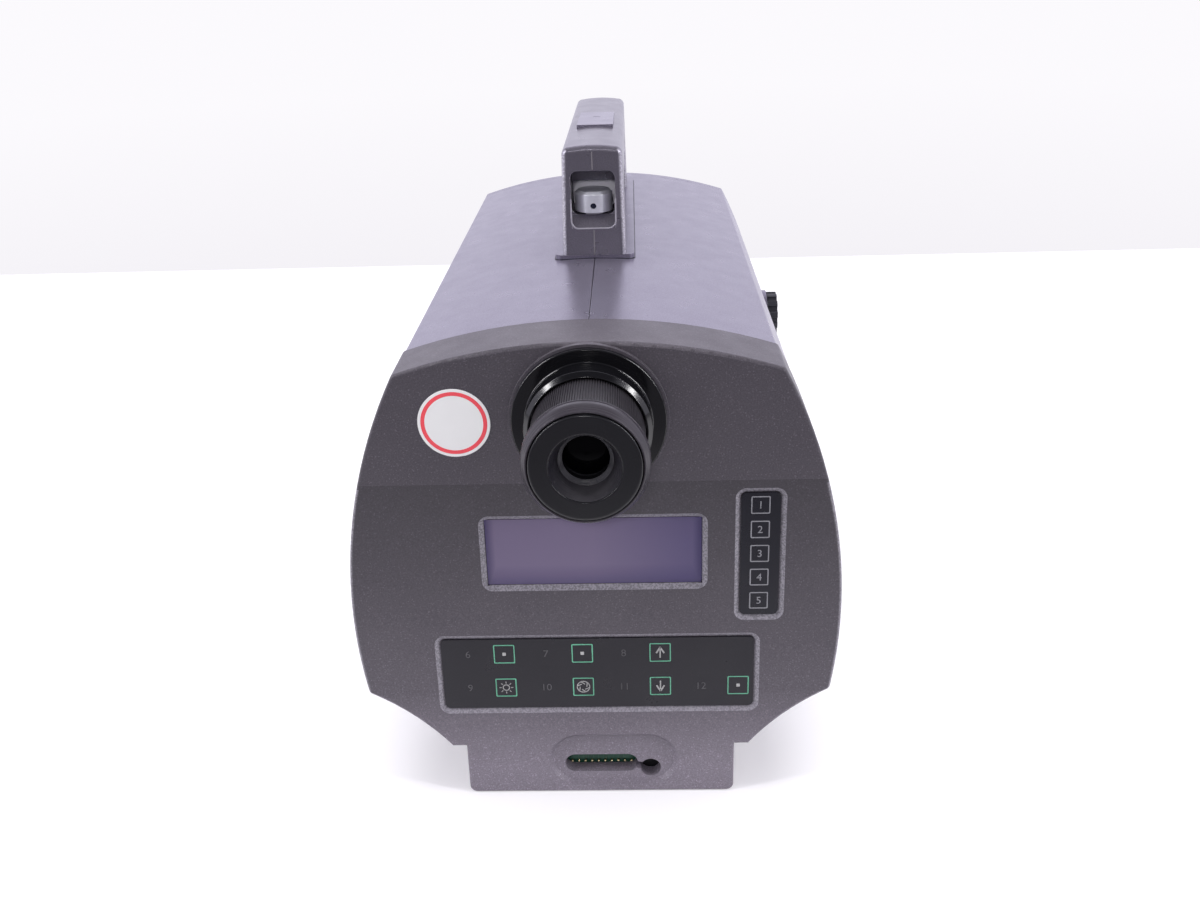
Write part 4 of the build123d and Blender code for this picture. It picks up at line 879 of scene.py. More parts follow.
@dataclass(frozen=True)
class DisplaySheet(Finish):
    """The liquid crystal panel or its cover: soft violet grey, bluer to the right, with painted shade of the
    window's walls at its side edges and foot.
    """

    half_width: float = 0.0385
    foot: float = 0.0898
    side_colour: Colour = (0.125, 0.103, 0.21)
    edge_colour: Colour = (0.045, 0.036, 0.125)
    # widths of the painted shade bands at the sides and the foot
    edge: float = 0.0035
    foot_height: float = 0.0077
    alpha: float = 1.0

    def dress(self, graph: Graph, shader: Node) -> None:
        """Joins the colour gradient and the painted shade at the edges to the shader.

        Args:
            graph: The material's graph.
            shader: Its shader.
        """
        place = graph.place()
        across = graph.axis(place, 0)
        clouded = graph.plus(across, graph.times(graph.noise(place, 22.0, 1.0), 0.01))
        body = graph.mix(graph.span(clouded, 0.005, self.half_width), self.colour, self.side_colour)
        aside = graph.math("ABSOLUTE", across)
        # painted shade of the window's walls along both sides and along the foot
        rim = graph.span(aside, self.half_width - self.edge, self.half_width, 0.0, 0.75)
        low = graph.span(graph.axis(place, 2), self.foot + self.foot_height, self.foot, 0.0, 0.55)
        colour = graph.mix(graph.math("MAXIMUM", rim, low), body, self.edge_colour)
        graph.feed(shader, Base_Color=colour, Roughness=self.roughness, Alpha=self.alpha)


@dataclass(frozen=True)
class CircuitBoard(Finish):
    """Green solder mask with faint tracks under it."""

    tracks_scale: float = 260.0
    low_share: Colour = (0.7, 0.75, 0.7)
    track_share: Colour = (1.8, 1.5, 1.6)

    def dress(self, graph: Graph, shader: Node) -> None:
        """Joins the tracks to the shader.

        Args:
            graph: The material's graph.
            shader: Its shader.
        """
        low, track = (tuple(np.multiply(self.colour, share)) for share in (self.low_share, self.track_share))
        colours = {"Color1": self.colour, "Color2": low, "Mortar": track}
        tracks = graph.node("TexBrick", Vector=graph.place(), Scale=self.tracks_scale, **colours)
        smear = graph.noise(graph.place(), 200.0)
        sheen = graph.span(smear, 0.3, 0.7, self.roughness, self.roughness + 0.15)
        graph.feed(shader, Base_Color=tracks.outputs[0], Roughness=sheen)


EYEPIECE = (0.0, -140.0, 153.6)
OBJECTIVE = (0.0, 153.0, 120.314)
EYE_CENTRE = tuple(value * MM for value in EYEPIECE)
OBJECTIVE_CENTRE = tuple(value * MM for value in OBJECTIVE)


@dataclass(frozen=True)
class EyeMetal(TurnedMetal):
    """Turned metal of the eyepiece, with edges too small to be rounded in the shading."""

    centre: Point = EYE_CENTRE
    rounding: float = 0.00006
    wear_width: float = 0.00010
    wear: float = 0.0


@dataclass(frozen=True)
class Ink(Finish):
    """Printed ink, a little patchy."""

    roughness: float = 0.5
    wear: float = 0.0
    dust: float = 0.02
    uneven: float = 0.12


# The panel and the housing are one plastic in two copies: the panel's copy is darker, painted shade for the
# front face.
PANEL_PLASTIC = MouldedPlastic(
    "panel_plastic", (0.072, 0.064, 0.078), 0.42, metallic=0.1, hollow_top=0.130, hollow_slopes=(0.08, 0.12),
    # low_tones: painted shade under the crease, painted light at the foot
    low_tones=(0.66, 1.20, 2.6), grain_scale=1900.0, grain_depth=0.00005, wear=0.8, wear_width=0.00005,
    # pale recess bevels: painted highlight with some wear
    worn_colour=(0.34, 0.325, 0.37), rubbed=1.0, rubbed_band=(0.032, 0.1285),
)
# The housing's copy of the same plastic is paler and more metallic, a painted sheen for the lit roof and sides.
HOUSING_PLASTIC = MouldedPlastic(
    "housing_plastic", (0.228, 0.210, 0.275), 0.30, metallic=0.65, ior=1.6, grain_scale=2500.0,
    grain_depth=0.000006, specks=0.0, wear=0.1, dust=0.0,
)
HANDLE_PAINT = MouldedPlastic(
    "handle_paint", (0.155, 0.143, 0.178), 0.30, metallic=0.5, ior=1.8, grain_scale=2500.0,
    # pale side edges of the handle: wear with painted highlight
    grain_depth=0.000012, specks=0.1, wear=0.85, worn_colour=(0.60, 0.58, 0.66), rubbed=1.0, rubbed_upright=0.0,
)
CAST_PAINT = MouldedPlastic(
    "cast_paint", (0.075, 0.073, 0.082), 0.5, grain_scale=900.0, grain_depth=0.00006, specks=0.2,
)
BLACK_MOULDING = MouldedPlastic(
    "black_moulding", (0.018, 0.018, 0.024), 0.40, grain_scale=2000.0, grain_depth=0.00002, specks=0.2,
)
KEY_FILM = MouldedPlastic(
    "key_film", (0.010, 0.009, 0.014), 0.30, ior=1.40, wear=0.05, dust=0.02, grain_scale=3200.0,
    grain_depth=0.000008, specks=0.1,
)
STRIP_FILM = replace(KEY_FILM, name="strip_film", colour=(0.007, 0.007, 0.013), roughness=0.28)
GLOSS_BLACK = EyeMetal("gloss_black", (0.003, 0.003, 0.004), 0.11, ior=1.55, dust=0.005)
SATIN_BLACK = EyeMetal("satin_black", (0.010, 0.010, 0.012), 0.18, ior=1.46, dust=0.01)
CONE_BLACK = EyeMetal("cone_black", (0.019, 0.018, 0.024), 0.30, ior=1.6, wear=0.3, dust=0.15)
RIM_GREY = EyeMetal("rim_grey", (0.034, 0.030, 0.038), 0.28, ior=1.42, wear=0.2, dust=0.02)
RIB_BLACK = EyeMetal("rib_black", (0.020, 0.018, 0.022), 0.34, ior=1.42, wear=0.2, dust=0.02)
LENS_BLACK = TurnedMetal(
    "lens_black", (0.018, 0.018, 0.020), 0.30, centre=OBJECTIVE_CENTRE, wear=0.3, dust=0.04,
)
KNOB_METAL = TurnedMetal(
    "knob_metal", (0.82, 0.83, 0.90), 0.38, metallic=0.6, centre=(0.0, -0.0232, 0.0), across=(1.0, 1.0, 0.0),
    wear=0.1, worn_colour=(0.9, 0.9, 0.92), mark_depth=0.000006,
)
# painted shade: black for the disc that darkens the peg hole
PAINTED_SHADE_BLACK = Finish("painted_shade_black", (0.004, 0.004, 0.005), 0.5, ior=1.35, wear=0.0, dust=0.01)
STEEL = Finish("bright_steel", (0.55, 0.55, 0.57), 0.28, metallic=1.0, wear=0.2, worn_colour=(0.8, 0.8, 0.82))
SCREW_BLUE = Finish("screw_blue", (0.012, 0.016, 0.040), 0.3, metallic=0.3, wear=0.1)
BRASS = Finish(
    "turned_brass", (0.72, 0.52, 0.22), 0.25, metallic=1.0, wear=0.2, worn_colour=(0.9, 0.75, 0.45),
)
GOLD = Finish("contact_gold", (0.90, 0.74, 0.42), 0.2, metallic=1.0, wear=0.1, worn_colour=(1.0, 0.95, 0.8))
MIRROR = Finish("front_mirror", (0.92, 0.93, 0.95), 0.03, metallic=1.0, wear=0.0, dust=0.01)
LENS_GLASS = ClearGlass("lens_glass", (0.90, 0.93, 0.95), 0.01, ior=1.52)
EYE_GLASS = Finish("eye_glass", (0.001, 0.001, 0.0015), 0.03, ior=1.16, wear=0.0, dust=0.0)
WINDOW_CLEAR = DisplaySheet("window_clear", (0.196, 0.160, 0.262), 0.22, ior=1.4, alpha=0.8)
DISPLAY_CELLS = DisplaySheet("display_cells", (0.19, 0.145, 0.245), 0.3)
GREEN_BOARD = CircuitBoard("green_board", (0.005, 0.050, 0.029), 0.35)
INNER_PLATE = Finish("inner_plate", (0.10, 0.10, 0.105), 0.5, metallic=0.6)
MINT_INK = Ink("mint_ink", (0.135, 0.46, 0.30), 0.45)
GREY_INK = Ink("grey_ink", (0.30, 0.30, 0.33))
PALE_INK = Ink("pale_ink", (0.42, 0.42, 0.42))
FAINT_INK = Ink("faint_ink", (0.070, 0.068, 0.076), uneven=0.2)
WHITE_INK = Ink("white_ink", (0.72, 0.72, 0.70), uneven=0.08)
DISC_WHITE = Finish("disc_white", (0.88, 0.88, 0.88), 0.35, wear=0.05, dust=0.03, uneven=0.02)
DISC_RED = Finish("disc_red", (0.93, 0.09, 0.115), 0.35, wear=0.05, dust=0.02, uneven=0.04)
# painted shadow round the pad's edge
PAINTED_SHADOW_DARK = Finish("painted_shadow_dark", (0.010, 0.010, 0.022), 0.4, wear=0.0, dust=0.02)
# painted light: a pale plate where light reaches the pockets' back walls
PAINTED_LIGHT_METAL = Finish("painted_light_metal", (0.80, 0.78, 0.86), 0.40, wear=0.1, dust=0.03, uneven=0.12)
# painted highlight on the scoops' rounded edges
SCOOP_HIGHLIGHT_PAINT = Finish("scoop_highlight_paint", (0.50, 0.48, 0.54), 0.30, metallic=0.4, wear=0.2, dust=0.03, uneven=0.25)
MOULD_LINE = Finish("mould_line", (0.20, 0.185, 0.205), 0.4, wear=0.3)


# Camera, lamps and stage


@dataclass(frozen=True)
class Lamp:
    """A soft area lamp: where it hangs and points, its size, its watts, and whether gloss shows it."""

    name: str
    place: Point
    size: Flat
    power: float
    mirrored: bool = True
    target: Point = (0.0, -0.1, 0.15)

    def build(self, colour: Colour) -> None:
        """Hangs the lamp, its back turned away from its target.

        Args:
            colour: The light's colour.
        """
        data = bpy.data.lights.new(self.name, "AREA")
        data.shape = "RECTANGLE"
        data.size, data.size_y = self.size
        data.energy, data.color = self.power, colour
        made = linked(self.name, data)
        made.visible_glossy = self.mirrored
        back = np.subtract(self.place, self.target)
        back /= np.linalg.norm(back)
        side = np.cross([0.0, 1.0, 0.0] if abs(back[2]) > 0.9 else [0.0, 0.0, 1.0], back)
        side /= np.linalg.norm(side)
        made.matrix_world = placed(side, np.cross(back, side), back, self.place)


def placed(*columns: np.ndarray | Point) -> Matrix:
    """A matrix of three directions and a place, one after another as its columns."""
    return Matrix([*np.column_stack(columns).tolist(), [0.0, 0.0, 0.0, 1.0]])


@dataclass(frozen=True)
class Studio:
    """The photograph's camera, a plain pale floor and soft lamps."""

    sensor: float = 36.0
    lens: float = 35.481
    nearest: float = 0.01
    place: Point = (0.01613, -0.50837, 0.30577)
    pitch: float = 23.92636
    yaw: float = -1.98028771
    roll: float = 1.78853858
    floor_far: float = 0.642
    floor_near: float = -3.0
    floor_half: float = 3.0
    floor_colours: tuple[Colour, Colour] = ((0.84, 0.835, 0.86), (0.88, 0.875, 0.89))
    floor_roughness: float = 0.7
    shade_colour: Colour = (0.13, 0.125, 0.14)
    shade_span: Flat = (-0.19, -0.50)
    glow: float = 0.15
    lamp_colour: Colour = (1.0, 0.99, 1.0)
    lit_colour: Colour = (0.95, 0.93, 1.0)
    wall_colour: Colour = (0.97, 0.955, 0.985)
    mirrored_colour: Colour = (0.92, 0.90, 1.04)
    low_colour: Colour = (0.90, 0.88, 0.92)
    low_span: Flat = (-0.27, -0.12)
    front_span: Flat = (-0.95, -0.35)
    hole_up: Flat = (0.60, 0.80)
    hole_back: Flat = (0.50, 0.20)
    lit_strength: float = 0.85
    front_level: float = 0.14
    ceiling_level: float = 0.12
    back_level: float = 1.18
    eye_rays: tuple[str, ...] = ("Camera", "Transmission")
    lamps: tuple[Lamp, ...] = (
        Lamp("overhead", (0.0, 0.05, 1.25), (1.3, 0.7), 11.0, False, (0.0, 0.0, 0.0)),
        Lamp("front_lamp", (-0.05, -1.30, 0.76), (0.14, 0.10), 3.0, False),
        Lamp("front_glint", (-0.05, -1.31, 0.765), (0.14, 0.10), 1.1),
        Lamp("left_box", (-1.0, -0.45, 0.75), (0.06, 0.9), 4.4),
        Lamp("right_box", (1.0, -0.45, 0.75), (0.06, 0.9), 4.4),
    )

    def camera(self) -> None:
        """Sets the camera from its pitch, yaw and roll; its columns are right, up and backwards."""
        pitch, yaw, roll = np.radians([self.pitch, self.yaw, self.roll])
        forward = np.array([np.sin(yaw) * np.cos(pitch), np.cos(yaw) * np.cos(pitch), -np.sin(pitch)])
        level = np.array([np.cos(yaw), -np.sin(yaw), 0.0])
        down = np.cross(forward, level)
        right, up = np.cos(roll) * level + np.sin(roll) * down, np.sin(roll) * level - np.cos(roll) * down
        data = bpy.data.cameras.new("view")
        data.sensor_width, data.lens, data.clip_start = self.sensor, self.lens, self.nearest
        made = linked("view", data)
        made.matrix_world = placed(right, up, -forward, self.place)
        bpy.context.scene.camera = made

    @staticmethod
    def rays(graph: Graph, *kinds: str) -> Socket:
        """1 for rays of the named kinds.

        Args:
            graph: The graph of a material or the world.
            kinds: The kinds' names.

        Returns:
            The sum of the kinds, held at 1.
        """
        path = graph.node("LightPath")
        found = [path.outputs[f"Is {kind} Ray"] for kind in kinds]
        return functools.reduce(lambda first, second: graph.math("ADD", first, second, clamp=True), found)

    def world(self) -> None:
        """A white surround for the eye and reflections, greyer low down as painted shade at the foot of the
        wall, and a plain level for the rest.
        """
        made = bpy.data.worlds.new("surround")
        graph = Graph.fresh(made)
        view = graph.node("TexCoord").outputs["Generated"]
        back, up = graph.axis(view, 1), graph.axis(view, 2)
        by_eye = self.rays(graph, *self.eye_rays)
        high = graph.mix(by_eye, self.mirrored_colour, self.wall_colour)
        # painted shade where the wall meets the floor: greyer towards the horizon
        colour = graph.mix(graph.span(up, *self.low_span), self.low_colour, high)
        open_side = graph.span(back, *self.front_span, self.front_level, 1.0)
        hole = graph.times(graph.span(up, *self.hole_up), graph.span(back, *self.hole_back))
        mirrored = graph.times(open_side, graph.span(hole, 0.0, 1.0, self.back_level, self.ceiling_level))
        level = graph.plus(graph.times(mirrored, graph.rest(by_eye)), by_eye)
        seen = graph.node("Background", _0=colour, _1=level).outputs[0]
        strength = graph.times(open_side, self.lit_strength)
        lit = graph.node("Background", _0=self.lit_colour, _1=strength).outputs[0]
        both = graph.node("MixShader", _0=self.rays(graph, *self.eye_rays, "Glossy"), _1=lit, _2=seen)
        graph.node("OutputWorld", _0=both.outputs[0])
        bpy.context.scene.world = made

    def floor(self) -> None:
        """A plain pale floor that ends where the photograph's wall meets it."""
        half, near, far = self.floor_half, self.floor_near, self.floor_far
        mesh = bpy.data.meshes.new("floor")
        corners = [(-half, near, 0), (half, near, 0), (half, far, 0), (-half, far, 0)]
        mesh.from_pydata(corners, [], [(0, 1, 2, 3)])
        material = bpy.data.materials.new("pale_floor")
        graph = Graph.fresh(material)
        cloud = graph.span(graph.noise(graph.place(), 1.4, 3.0), 0.35, 0.65)
        front = graph.span(graph.axis(graph.place(), 1), *self.shade_span)
        shade = graph.times(front, graph.rest(self.rays(graph, *self.eye_rays)))
        colour = graph.mix(shade, graph.mix(cloud, *self.floor_colours), self.shade_colour)
        shader = graph.node("BsdfPrincipled", Base_Color=colour, Roughness=self.floor_roughness).outputs[0]
        bright = graph.times(self.rays(graph, *self.eye_rays, "Glossy"), graph.rest(shade))
        glow = graph.node("Emission", _0=self.lamp_colour, _1=graph.times(bright, self.glow)).outputs[0]
        graph.node("OutputMaterial", _0=graph.node("AddShader", _0=shader, _1=glow).outputs[0])
        mesh.materials.append(material)
        made = linked("floor", mesh)

    def build(self) -> None:
        """Sets the camera, the surround, the floor, the lamps and the view transform."""
        self.camera()
        self.world()
        self.floor()
        for lamp in self.lamps:
            lamp.build(self.lamp_colour)
        bpy.context.scene.view_settings.view_transform = "Standard"


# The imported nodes


class CadFinishes:
    """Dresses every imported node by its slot, with a few nodes of their own."""

    by_slot: dict[Slot, Finish] = {
        Slot.CASE: HOUSING_PLASTIC, Slot.HANDLE: HANDLE_PAINT, Slot.CAST: CAST_PAINT, Slot.BLACK: SATIN_BLACK,
        Slot.BARE: KNOB_METAL, Slot.STEEL: STEEL, Slot.BRASS: BRASS, Slot.GLASS: LENS_GLASS,
        Slot.MIRROR: MIRROR, Slot.FILM: KEY_FILM, Slot.DISPLAY: DISPLAY_CELLS, Slot.BOARD: GREEN_BOARD,
        Slot.PLATE: INNER_PLATE, Slot.KNOB: BLACK_MOULDING,
    }
    by_node: dict[str, Finish] = {
        "operator_panel": PANEL_PLASTIC, "strip_film": STRIP_FILM, "display_window": WINDOW_CLEAR,
        "handle_seat_pad": HOUSING_PLASTIC, "lens_mount": LENS_BLACK, "focus_ring": LENS_BLACK,
        "front_barrel": LENS_BLACK, "interface_pins": GOLD, "near_set_screw": SCREW_BLUE,
        "far_set_screw": SCREW_BLUE, "eye_lens": EYE_GLASS,
    }

    def build(self) -> None:
        """Gives each node its finish."""
        for name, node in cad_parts.items():
            slot = Slot(node.material_slots[0].material.name.split(".")[0])
            finish = self.by_node.get(name, self.by_slot[slot])
            for holder in node.material_slots:
                holder.material = finish.material()


# Pieces


@dataclass(frozen=True)
class PanelPlane:
    """The tilted lower face of the panel: places as (x, z) at rest upright, and depth behind the face."""

    face_y: float = -140.0
    crease: float = 130.0
    tilt: float = 2.0

    def lay(self, flat: np.ndarray, depth: np.ndarray) -> np.ndarray:
        """Places flat points, with w the height over the crease.

        They come to y = face + d cos t + w sin t and z = crease - d sin t + w cos t.

        Args:
            flat: Array of ... by 2, as x and z.
            depth: How far behind the face.

        Returns:
            Array of ... by 3.
        """
        drop = flat[..., 1] - self.crease
        cosine, sine = math.cos(math.radians(self.tilt)), math.sin(math.radians(self.tilt))
        y = self.face_y + depth * cosine + drop * sine
        z = self.crease - depth * sine + drop * cosine
        return np.stack([flat[..., 0], y, z], axis=-1)


@dataclass(frozen=True)
class Wheel:
    """A symbol: a ring and a count of strokes between two radii, their ends an angle apart."""

    count: int
    ring: Flat
    reach: Flat
    line: float
    lean: float = 0.0


@dataclass
class KeyPrints:
    """Borders, symbols and numbers printed on the two key films."""

    plane: PanelPlane = PanelPlane()
    film: float = 0.6
    ink: float = 0.05
    key_side: float = 7.85
    strip_side: float = 6.7
    line: float = 0.42
    corner: float = 0.5
    upper_row: float = 61.4
    lower_row: float = 47.0
    columns: tuple[float, ...] = (-34.2, -5.4, 23.2, 51.9)
    strip_x: float = 58.66
    strip_rows: tuple[float, ...] = (120.2, 110.8, 101.4, 92.0, 82.6)
    spot_side: float = 1.35
    arrow_half: float = 2.3
    arrow_head: Flat = (1.45, 2.6)
    arrow_lines: Flat = (0.5, 0.6)
    arrow_cross: float = 0.06
    sun: Wheel = Wheel(8, (1.35, 1.0), (1.75, 2.6), 0.32)
    iris: Wheel = Wheel(6, (2.5, 2.15), (1.25, 2.3), 0.34, 0.9)
    strip_number_height: float = 2.9
    key_number_height: float = 3.0
    key_number_left: float = 13.4

    def plate(self, outer: np.ndarray, inner: np.ndarray, at: Flat) -> Skin:
        """A printed shape of the ink's thickness on the film at a place.

        Args:
            outer: Its outer outline, points by 2.
            inner: Its inner outline.
            at: The place, as x and z.

        Returns:
            The skin.
        """
        rows, heights = slab(outer, inner, self.film, self.film - self.ink)
        return grid_skin(self.plane.lay(rows + at, heights))

    def border(self, side: float, at: Flat) -> Skin:
        """A square border with round corners."""
        inner = rounded_square(side - 2 * self.line, self.corner / 2)
        return self.plate(rounded_square(side, self.corner), inner, at)

    def spot(self, at: Flat) -> Skin:
        """A small filled square."""
        outer = rounded_square(self.spot_side, self.spot_side / 5)
        return self.plate(outer, outer * POINT_SHARE, at)

    def bar(self, start: np.ndarray, end: np.ndarray, width: float, at: Flat) -> Skin:
        """A straight printed stroke: its outline is the stroke's ends moved half the width to each side.

        Args:
            start: One end, about the place.
            end: The other end.
            width: How wide it is.
            at: The place, as x and z.

        Returns:
            The skin.
        """
        start, end = np.array(start, float), np.array(end, float)
        run = end - start
        across = np.array([-run[1], run[0]]) / np.linalg.norm(run) * width / 2
        share = np.linspace(0, 1, 5)[:, None]
        middle = np.concatenate([start + run * share, end - run * share])
        aside = np.repeat([across, -across], len(share), axis=0)
        return self.plate(middle + aside, middle + aside * POINT_SHARE, at)

    def arrow(self, way: int, at: Flat) -> Skin:
        """An arrow up or down: a shaft, and two strokes that cross a little at its tip.

        Args:
            way: 1 for up and -1 for down.
            at: The place, as x and z.

        Returns:
            The skin.
        """
        tip = self.arrow_half * way
        (reach, drop), (shaft_line, head_line) = self.arrow_head, self.arrow_lines
        strokes = [self.bar((0, -tip), (0, tip), shaft_line, at)]
        for side in (-1, 1):
            start, end = (side * reach, tip - drop * way), (-side * self.arrow_cross, tip)
            strokes.append(self.bar(start, end, head_line, at))
        return Skin.joined(strokes)

    def wheel(self, shape: Wheel, at: Flat) -> Skin:
        """A ring with strokes: a lamp with its rays, or a shutter with the edges of its blades.

        Args:
            shape: The symbol's sizes.
            at: The place, as x and z.

        Returns:
            The skin.
        """
        angle = once_round(shape.count)
        starts, ends = spokes(angle) * shape.reach[0], spokes(angle + shape.lean) * shape.reach[1]
        strokes = [self.bar(start, end, shape.line, at) for start, end in zip(starts, ends)]
        outer, inner = (circle(radius) for radius in shape.ring)
        return Skin.joined([self.plate(outer, inner, at), *strokes])

    def number(self, value: int, height: float, at: Flat) -> Mesh:
        """A number laid on the film.

        Args:
            value: The number.
            height: How tall it is.
            at: The place of its middle, as x and z.

        Returns:
            Its mesh.
        """
        mesh, points = flat_text(str(value), height)
        return laid(mesh, self.plane.lay(points[:, :2] + at, self.film - self.ink * (points[:, 2] > 0)))

    def build(self) -> None:
        """Makes the borders, symbols and numbers."""
        upper, lower = ([(x, row) for x in self.columns] for row in (self.upper_row, self.lower_row))
        keys = upper[:3] + lower
        strip = [(self.strip_x, z) for z in self.strip_rows]
        on_keys, on_strip = (
            Skin.joined([self.border(side, at) for at in places])
            for side, places in ((self.key_side, keys), (self.strip_side, strip))
        )
        piece("key_borders", on_keys, MINT_INK)
        piece("strip_key_borders", on_strip, GREY_INK)
        symbols = [
            self.spot(upper[0]), self.spot(upper[1]), self.spot(lower[3]), self.arrow(1, upper[2]),
            self.arrow(-1, lower[2]), self.wheel(self.sun, lower[0]), self.wheel(self.iris, lower[1]),
        ]
        piece("key_symbols", Skin.joined(symbols), PALE_INK)
        numbers = [self.number(value, self.strip_number_height, at) for value, at in enumerate(strip, 1)]
        piece("strip_key_numbers", numbers, GREY_INK)
        places = enumerate([(x - self.key_number_left, z) for x, z in keys], len(strip) + 1)
        numbers = [self.number(value, self.key_number_height, at) for value, at in places]
        piece("key_numbers", numbers, FAINT_INK)


@dataclass
class Eyepiece:
    """The flange with its seat, the ribbed ring, the rim, its face with the conical mouth, and a retainer."""

    bore: float = 17.68
    flange_radius: float = 26.2
    flange_back: float = 1.6
    flange_face: float = 3.6
    flange_chamfer: float = 0.3
    seat_radius: float = 21.4
    seat_bore: float = 19.5
    seat_floor: float = 5.6
    seat_face: float = 12.6
    seat_chamfer: float = 1.5
    seat_foot: float = 0.35
    rib_count: int = 140
    rib_root: float = 18.55
    rib_tip: float = 18.98
    rib_end: float = 31.9
    rib_steps: int = 6
    rib_relief: float = 0.1
    rib_start: float = 0.05
    rib_fades: Flat = (0.3, 0.5)
    rib_wave: Flat = (0.5, 0.95)
    ring_bore: float = 17.95
    ring_back: float = 8.6
    ring_rows: tuple[float, ...] = (0.3, 31.4, 31.7, 32.3, 32.7)
    ring_front: float = 33.0
    rim_bore: float = 18.15
    rim_radius: float = 20.4
    rim_gap: float = 0.02
    rim_edge: float = 0.25
    groove: tuple[float, ...] = (0.8, 1.0, 1.35, 1.6)
    groove_depth: float = 0.4
    rim_front: float = 37.0
    rim_lip: tuple[Flat, ...] = ((20.05, 37.2), (18.75, 39.35), (18.35, 39.45), (18.15, 39.1))
    face: float = 40.0
    face_radius: float = 17.9
    face_side: float = 38.2
    face_back: float = 28.52
    mouth: float = 11.6
    mouth_land: float = 2.0
    throat: float = 7.6
    throat_depth: float = 8.6
    throat_back: float = 31.0
    throat_rings: Flat = (1.3, 1.9)
    throat_ring_count: int = 12
    lining_gap: float = 0.06
    lining: float = 0.04
    lining_top: float = 0.45
    flange_round: float = 0.14
    rim_round: float = 0.18
    rim_bevel: float = 0.6
    face_round: float = 1.05
    mouth_round: float = 0.3
    retainer_round: float = 0.08
    throat_ring_rise: float = 0.13
    lining_ring_rise: float = 0.16
    crisp_deg: float = 30.0
    rib_crisp_deg: float = 50.0
    retainer_outline: tuple[Flat, ...] = (
        (8.0, 26.6), (8.5, 27.05), (8.5, 27.4), (9.4, 27.75), (9.4, 28.05), (11.9, 28.05), (11.9, 25.75),
        (8.0, 26.4),
    )

    def turned(self, profile: np.ndarray, steps: int = 192) -> Skin:
        """An outline turned about the eyepiece's axis."""
        return lathe(profile, EYEPIECE, Axis.Y_OUT, steps)

    def flange(self) -> Skin:
        """The flange and the raised seat, with rounded edges.

        Returns:
            The skin.
        """
        corners = [
            (self.bore, self.flange_back), (self.flange_radius, self.flange_back),
            (self.flange_radius, self.flange_face - self.flange_chamfer),
            (self.flange_radius - self.flange_chamfer, self.flange_face),
            (self.seat_radius + self.seat_foot, self.flange_face),
            (self.seat_radius, self.flange_face + self.seat_foot),
            (self.seat_radius, self.seat_face - self.seat_chamfer),
            (self.seat_radius - self.seat_chamfer, self.seat_face), (self.seat_bore, self.seat_face),
            (self.seat_bore, self.seat_floor), (self.bore, self.seat_floor),
        ]
        return self.turned(soften(corners, self.flange_round), 256)

    def grip(self) -> Skin:
        """The ribbed ring: r = root + (tip - root) times a flat-topped wave, faded out at both ends.

        Returns:
            The skin.
        """
        first, last, low, high, end = self.ring_rows
        back, front, steps = self.ring_back, self.ring_front, self.rib_count * self.rib_steps
        ribbed, beyond = np.linspace(back + first, last, 8), np.linspace(low, high, 4)
        start = back - self.rib_start
        outs = np.concatenate([[back, back], ribbed, beyond, [end, front, front]])
        radii = np.full(len(outs), self.rib_root)
        radii[[0, -1]] = self.ring_bore
        radii[-5:-1] -= self.rib_relief
        (level, swing), (back_fade, front_fade) = self.rib_wave, self.rib_fades
        wave = np.clip(level + swing * np.cos(self.rib_count * once_round(steps)), 0, 1)
        fade = np.clip((self.rib_end - outs) / front_fade, 0, 1) * np.clip((outs - start) / back_fade, 0, 1)
        fade[0] = 0
        ripple = (self.rib_tip - self.rib_root) * fade[:, None] * wave[None]
        return lathe(np.stack([radii, outs], axis=1), EYEPIECE, Axis.Y_OUT, steps, ripple=ripple)

    def rim(self) -> Skin:
        """The satin rim in front of the ribs, grooved, and bevelled towards the face.

        Returns:
            The skin.
        """
        radius, back, edge = self.rim_radius, self.ring_front, self.rim_edge
        ways = [back + way for way in self.groove]
        floor = radius - self.groove_depth
        corners = [
            (self.rim_bore, back + self.rim_gap), (radius - edge, back + self.rim_gap), (radius, back + edge),
            (radius, ways[0]), (floor, ways[1]), (floor, ways[2]), (radius, ways[3]),
            (radius, self.rim_front - self.rim_bevel), *self.rim_lip,
        ]
        return self.turned(soften(corners, self.rim_round, 3))

    def rings(self, rise: float) -> np.ndarray:
        """The fine rings at the throat: radius and distance fall evenly from ring to ring.

        Args:
            rise: How much farther out every second ring lies.

        Returns:
            Their radii and distances, points by 2.
        """
        share = np.linspace(1, 0, self.throat_ring_count + 1)
        width, depth = self.throat_rings
        radius = self.throat + width * share + rise * (np.arange(len(share)) % 2)
        return np.stack([radius, self.face - self.throat_depth + depth * share], axis=1)

    def face_disc(self) -> Skin:
        """The black face: round outer edge, flat, and a cone with fine rings towards its throat.

        Returns:
            The skin.
        """
        land, side = (self.mouth + self.mouth_land, self.face), self.face_radius
        outer = soften([(side, self.face_side), (side, self.face), land], self.face_round, 8, False)
        rings = self.rings(0.0)
        edge = soften([land, (self.mouth, self.face), tuple(rings[0])], self.mouth_round, 5, False)
        rings[2::2, 0] += self.throat_ring_rise
        back = [(self.throat, self.throat_back), (self.throat, self.face_back), (side, self.face_back)]
        return self.turned(np.concatenate([outer[:-1], edge, rings[1:], back]))

    def cone(self) -> Skin:
        """The lining of the mouth: a smooth cone that ends in fine rings, a hair inside the face piece.

        Returns:
            The skin.
        """
        rings = self.rings(self.lining_ring_rise)
        share = self.lining_top / (self.face - rings[0, 1])
        top = (self.mouth - share * (self.mouth - rings[0, 0]), self.face - self.lining_top)
        inner = np.concatenate([[top], rings])
        outer = inner[::-1] + [self.lining, 0.0]
        return self.turned(np.concatenate([inner, outer]) - [self.lining_gap, 0.0])

    def retainer(self) -> Skin:
        """The stepped ring that holds the eye lens."""
        return self.turned(soften(self.retainer_outline, self.retainer_round, 2), 120)

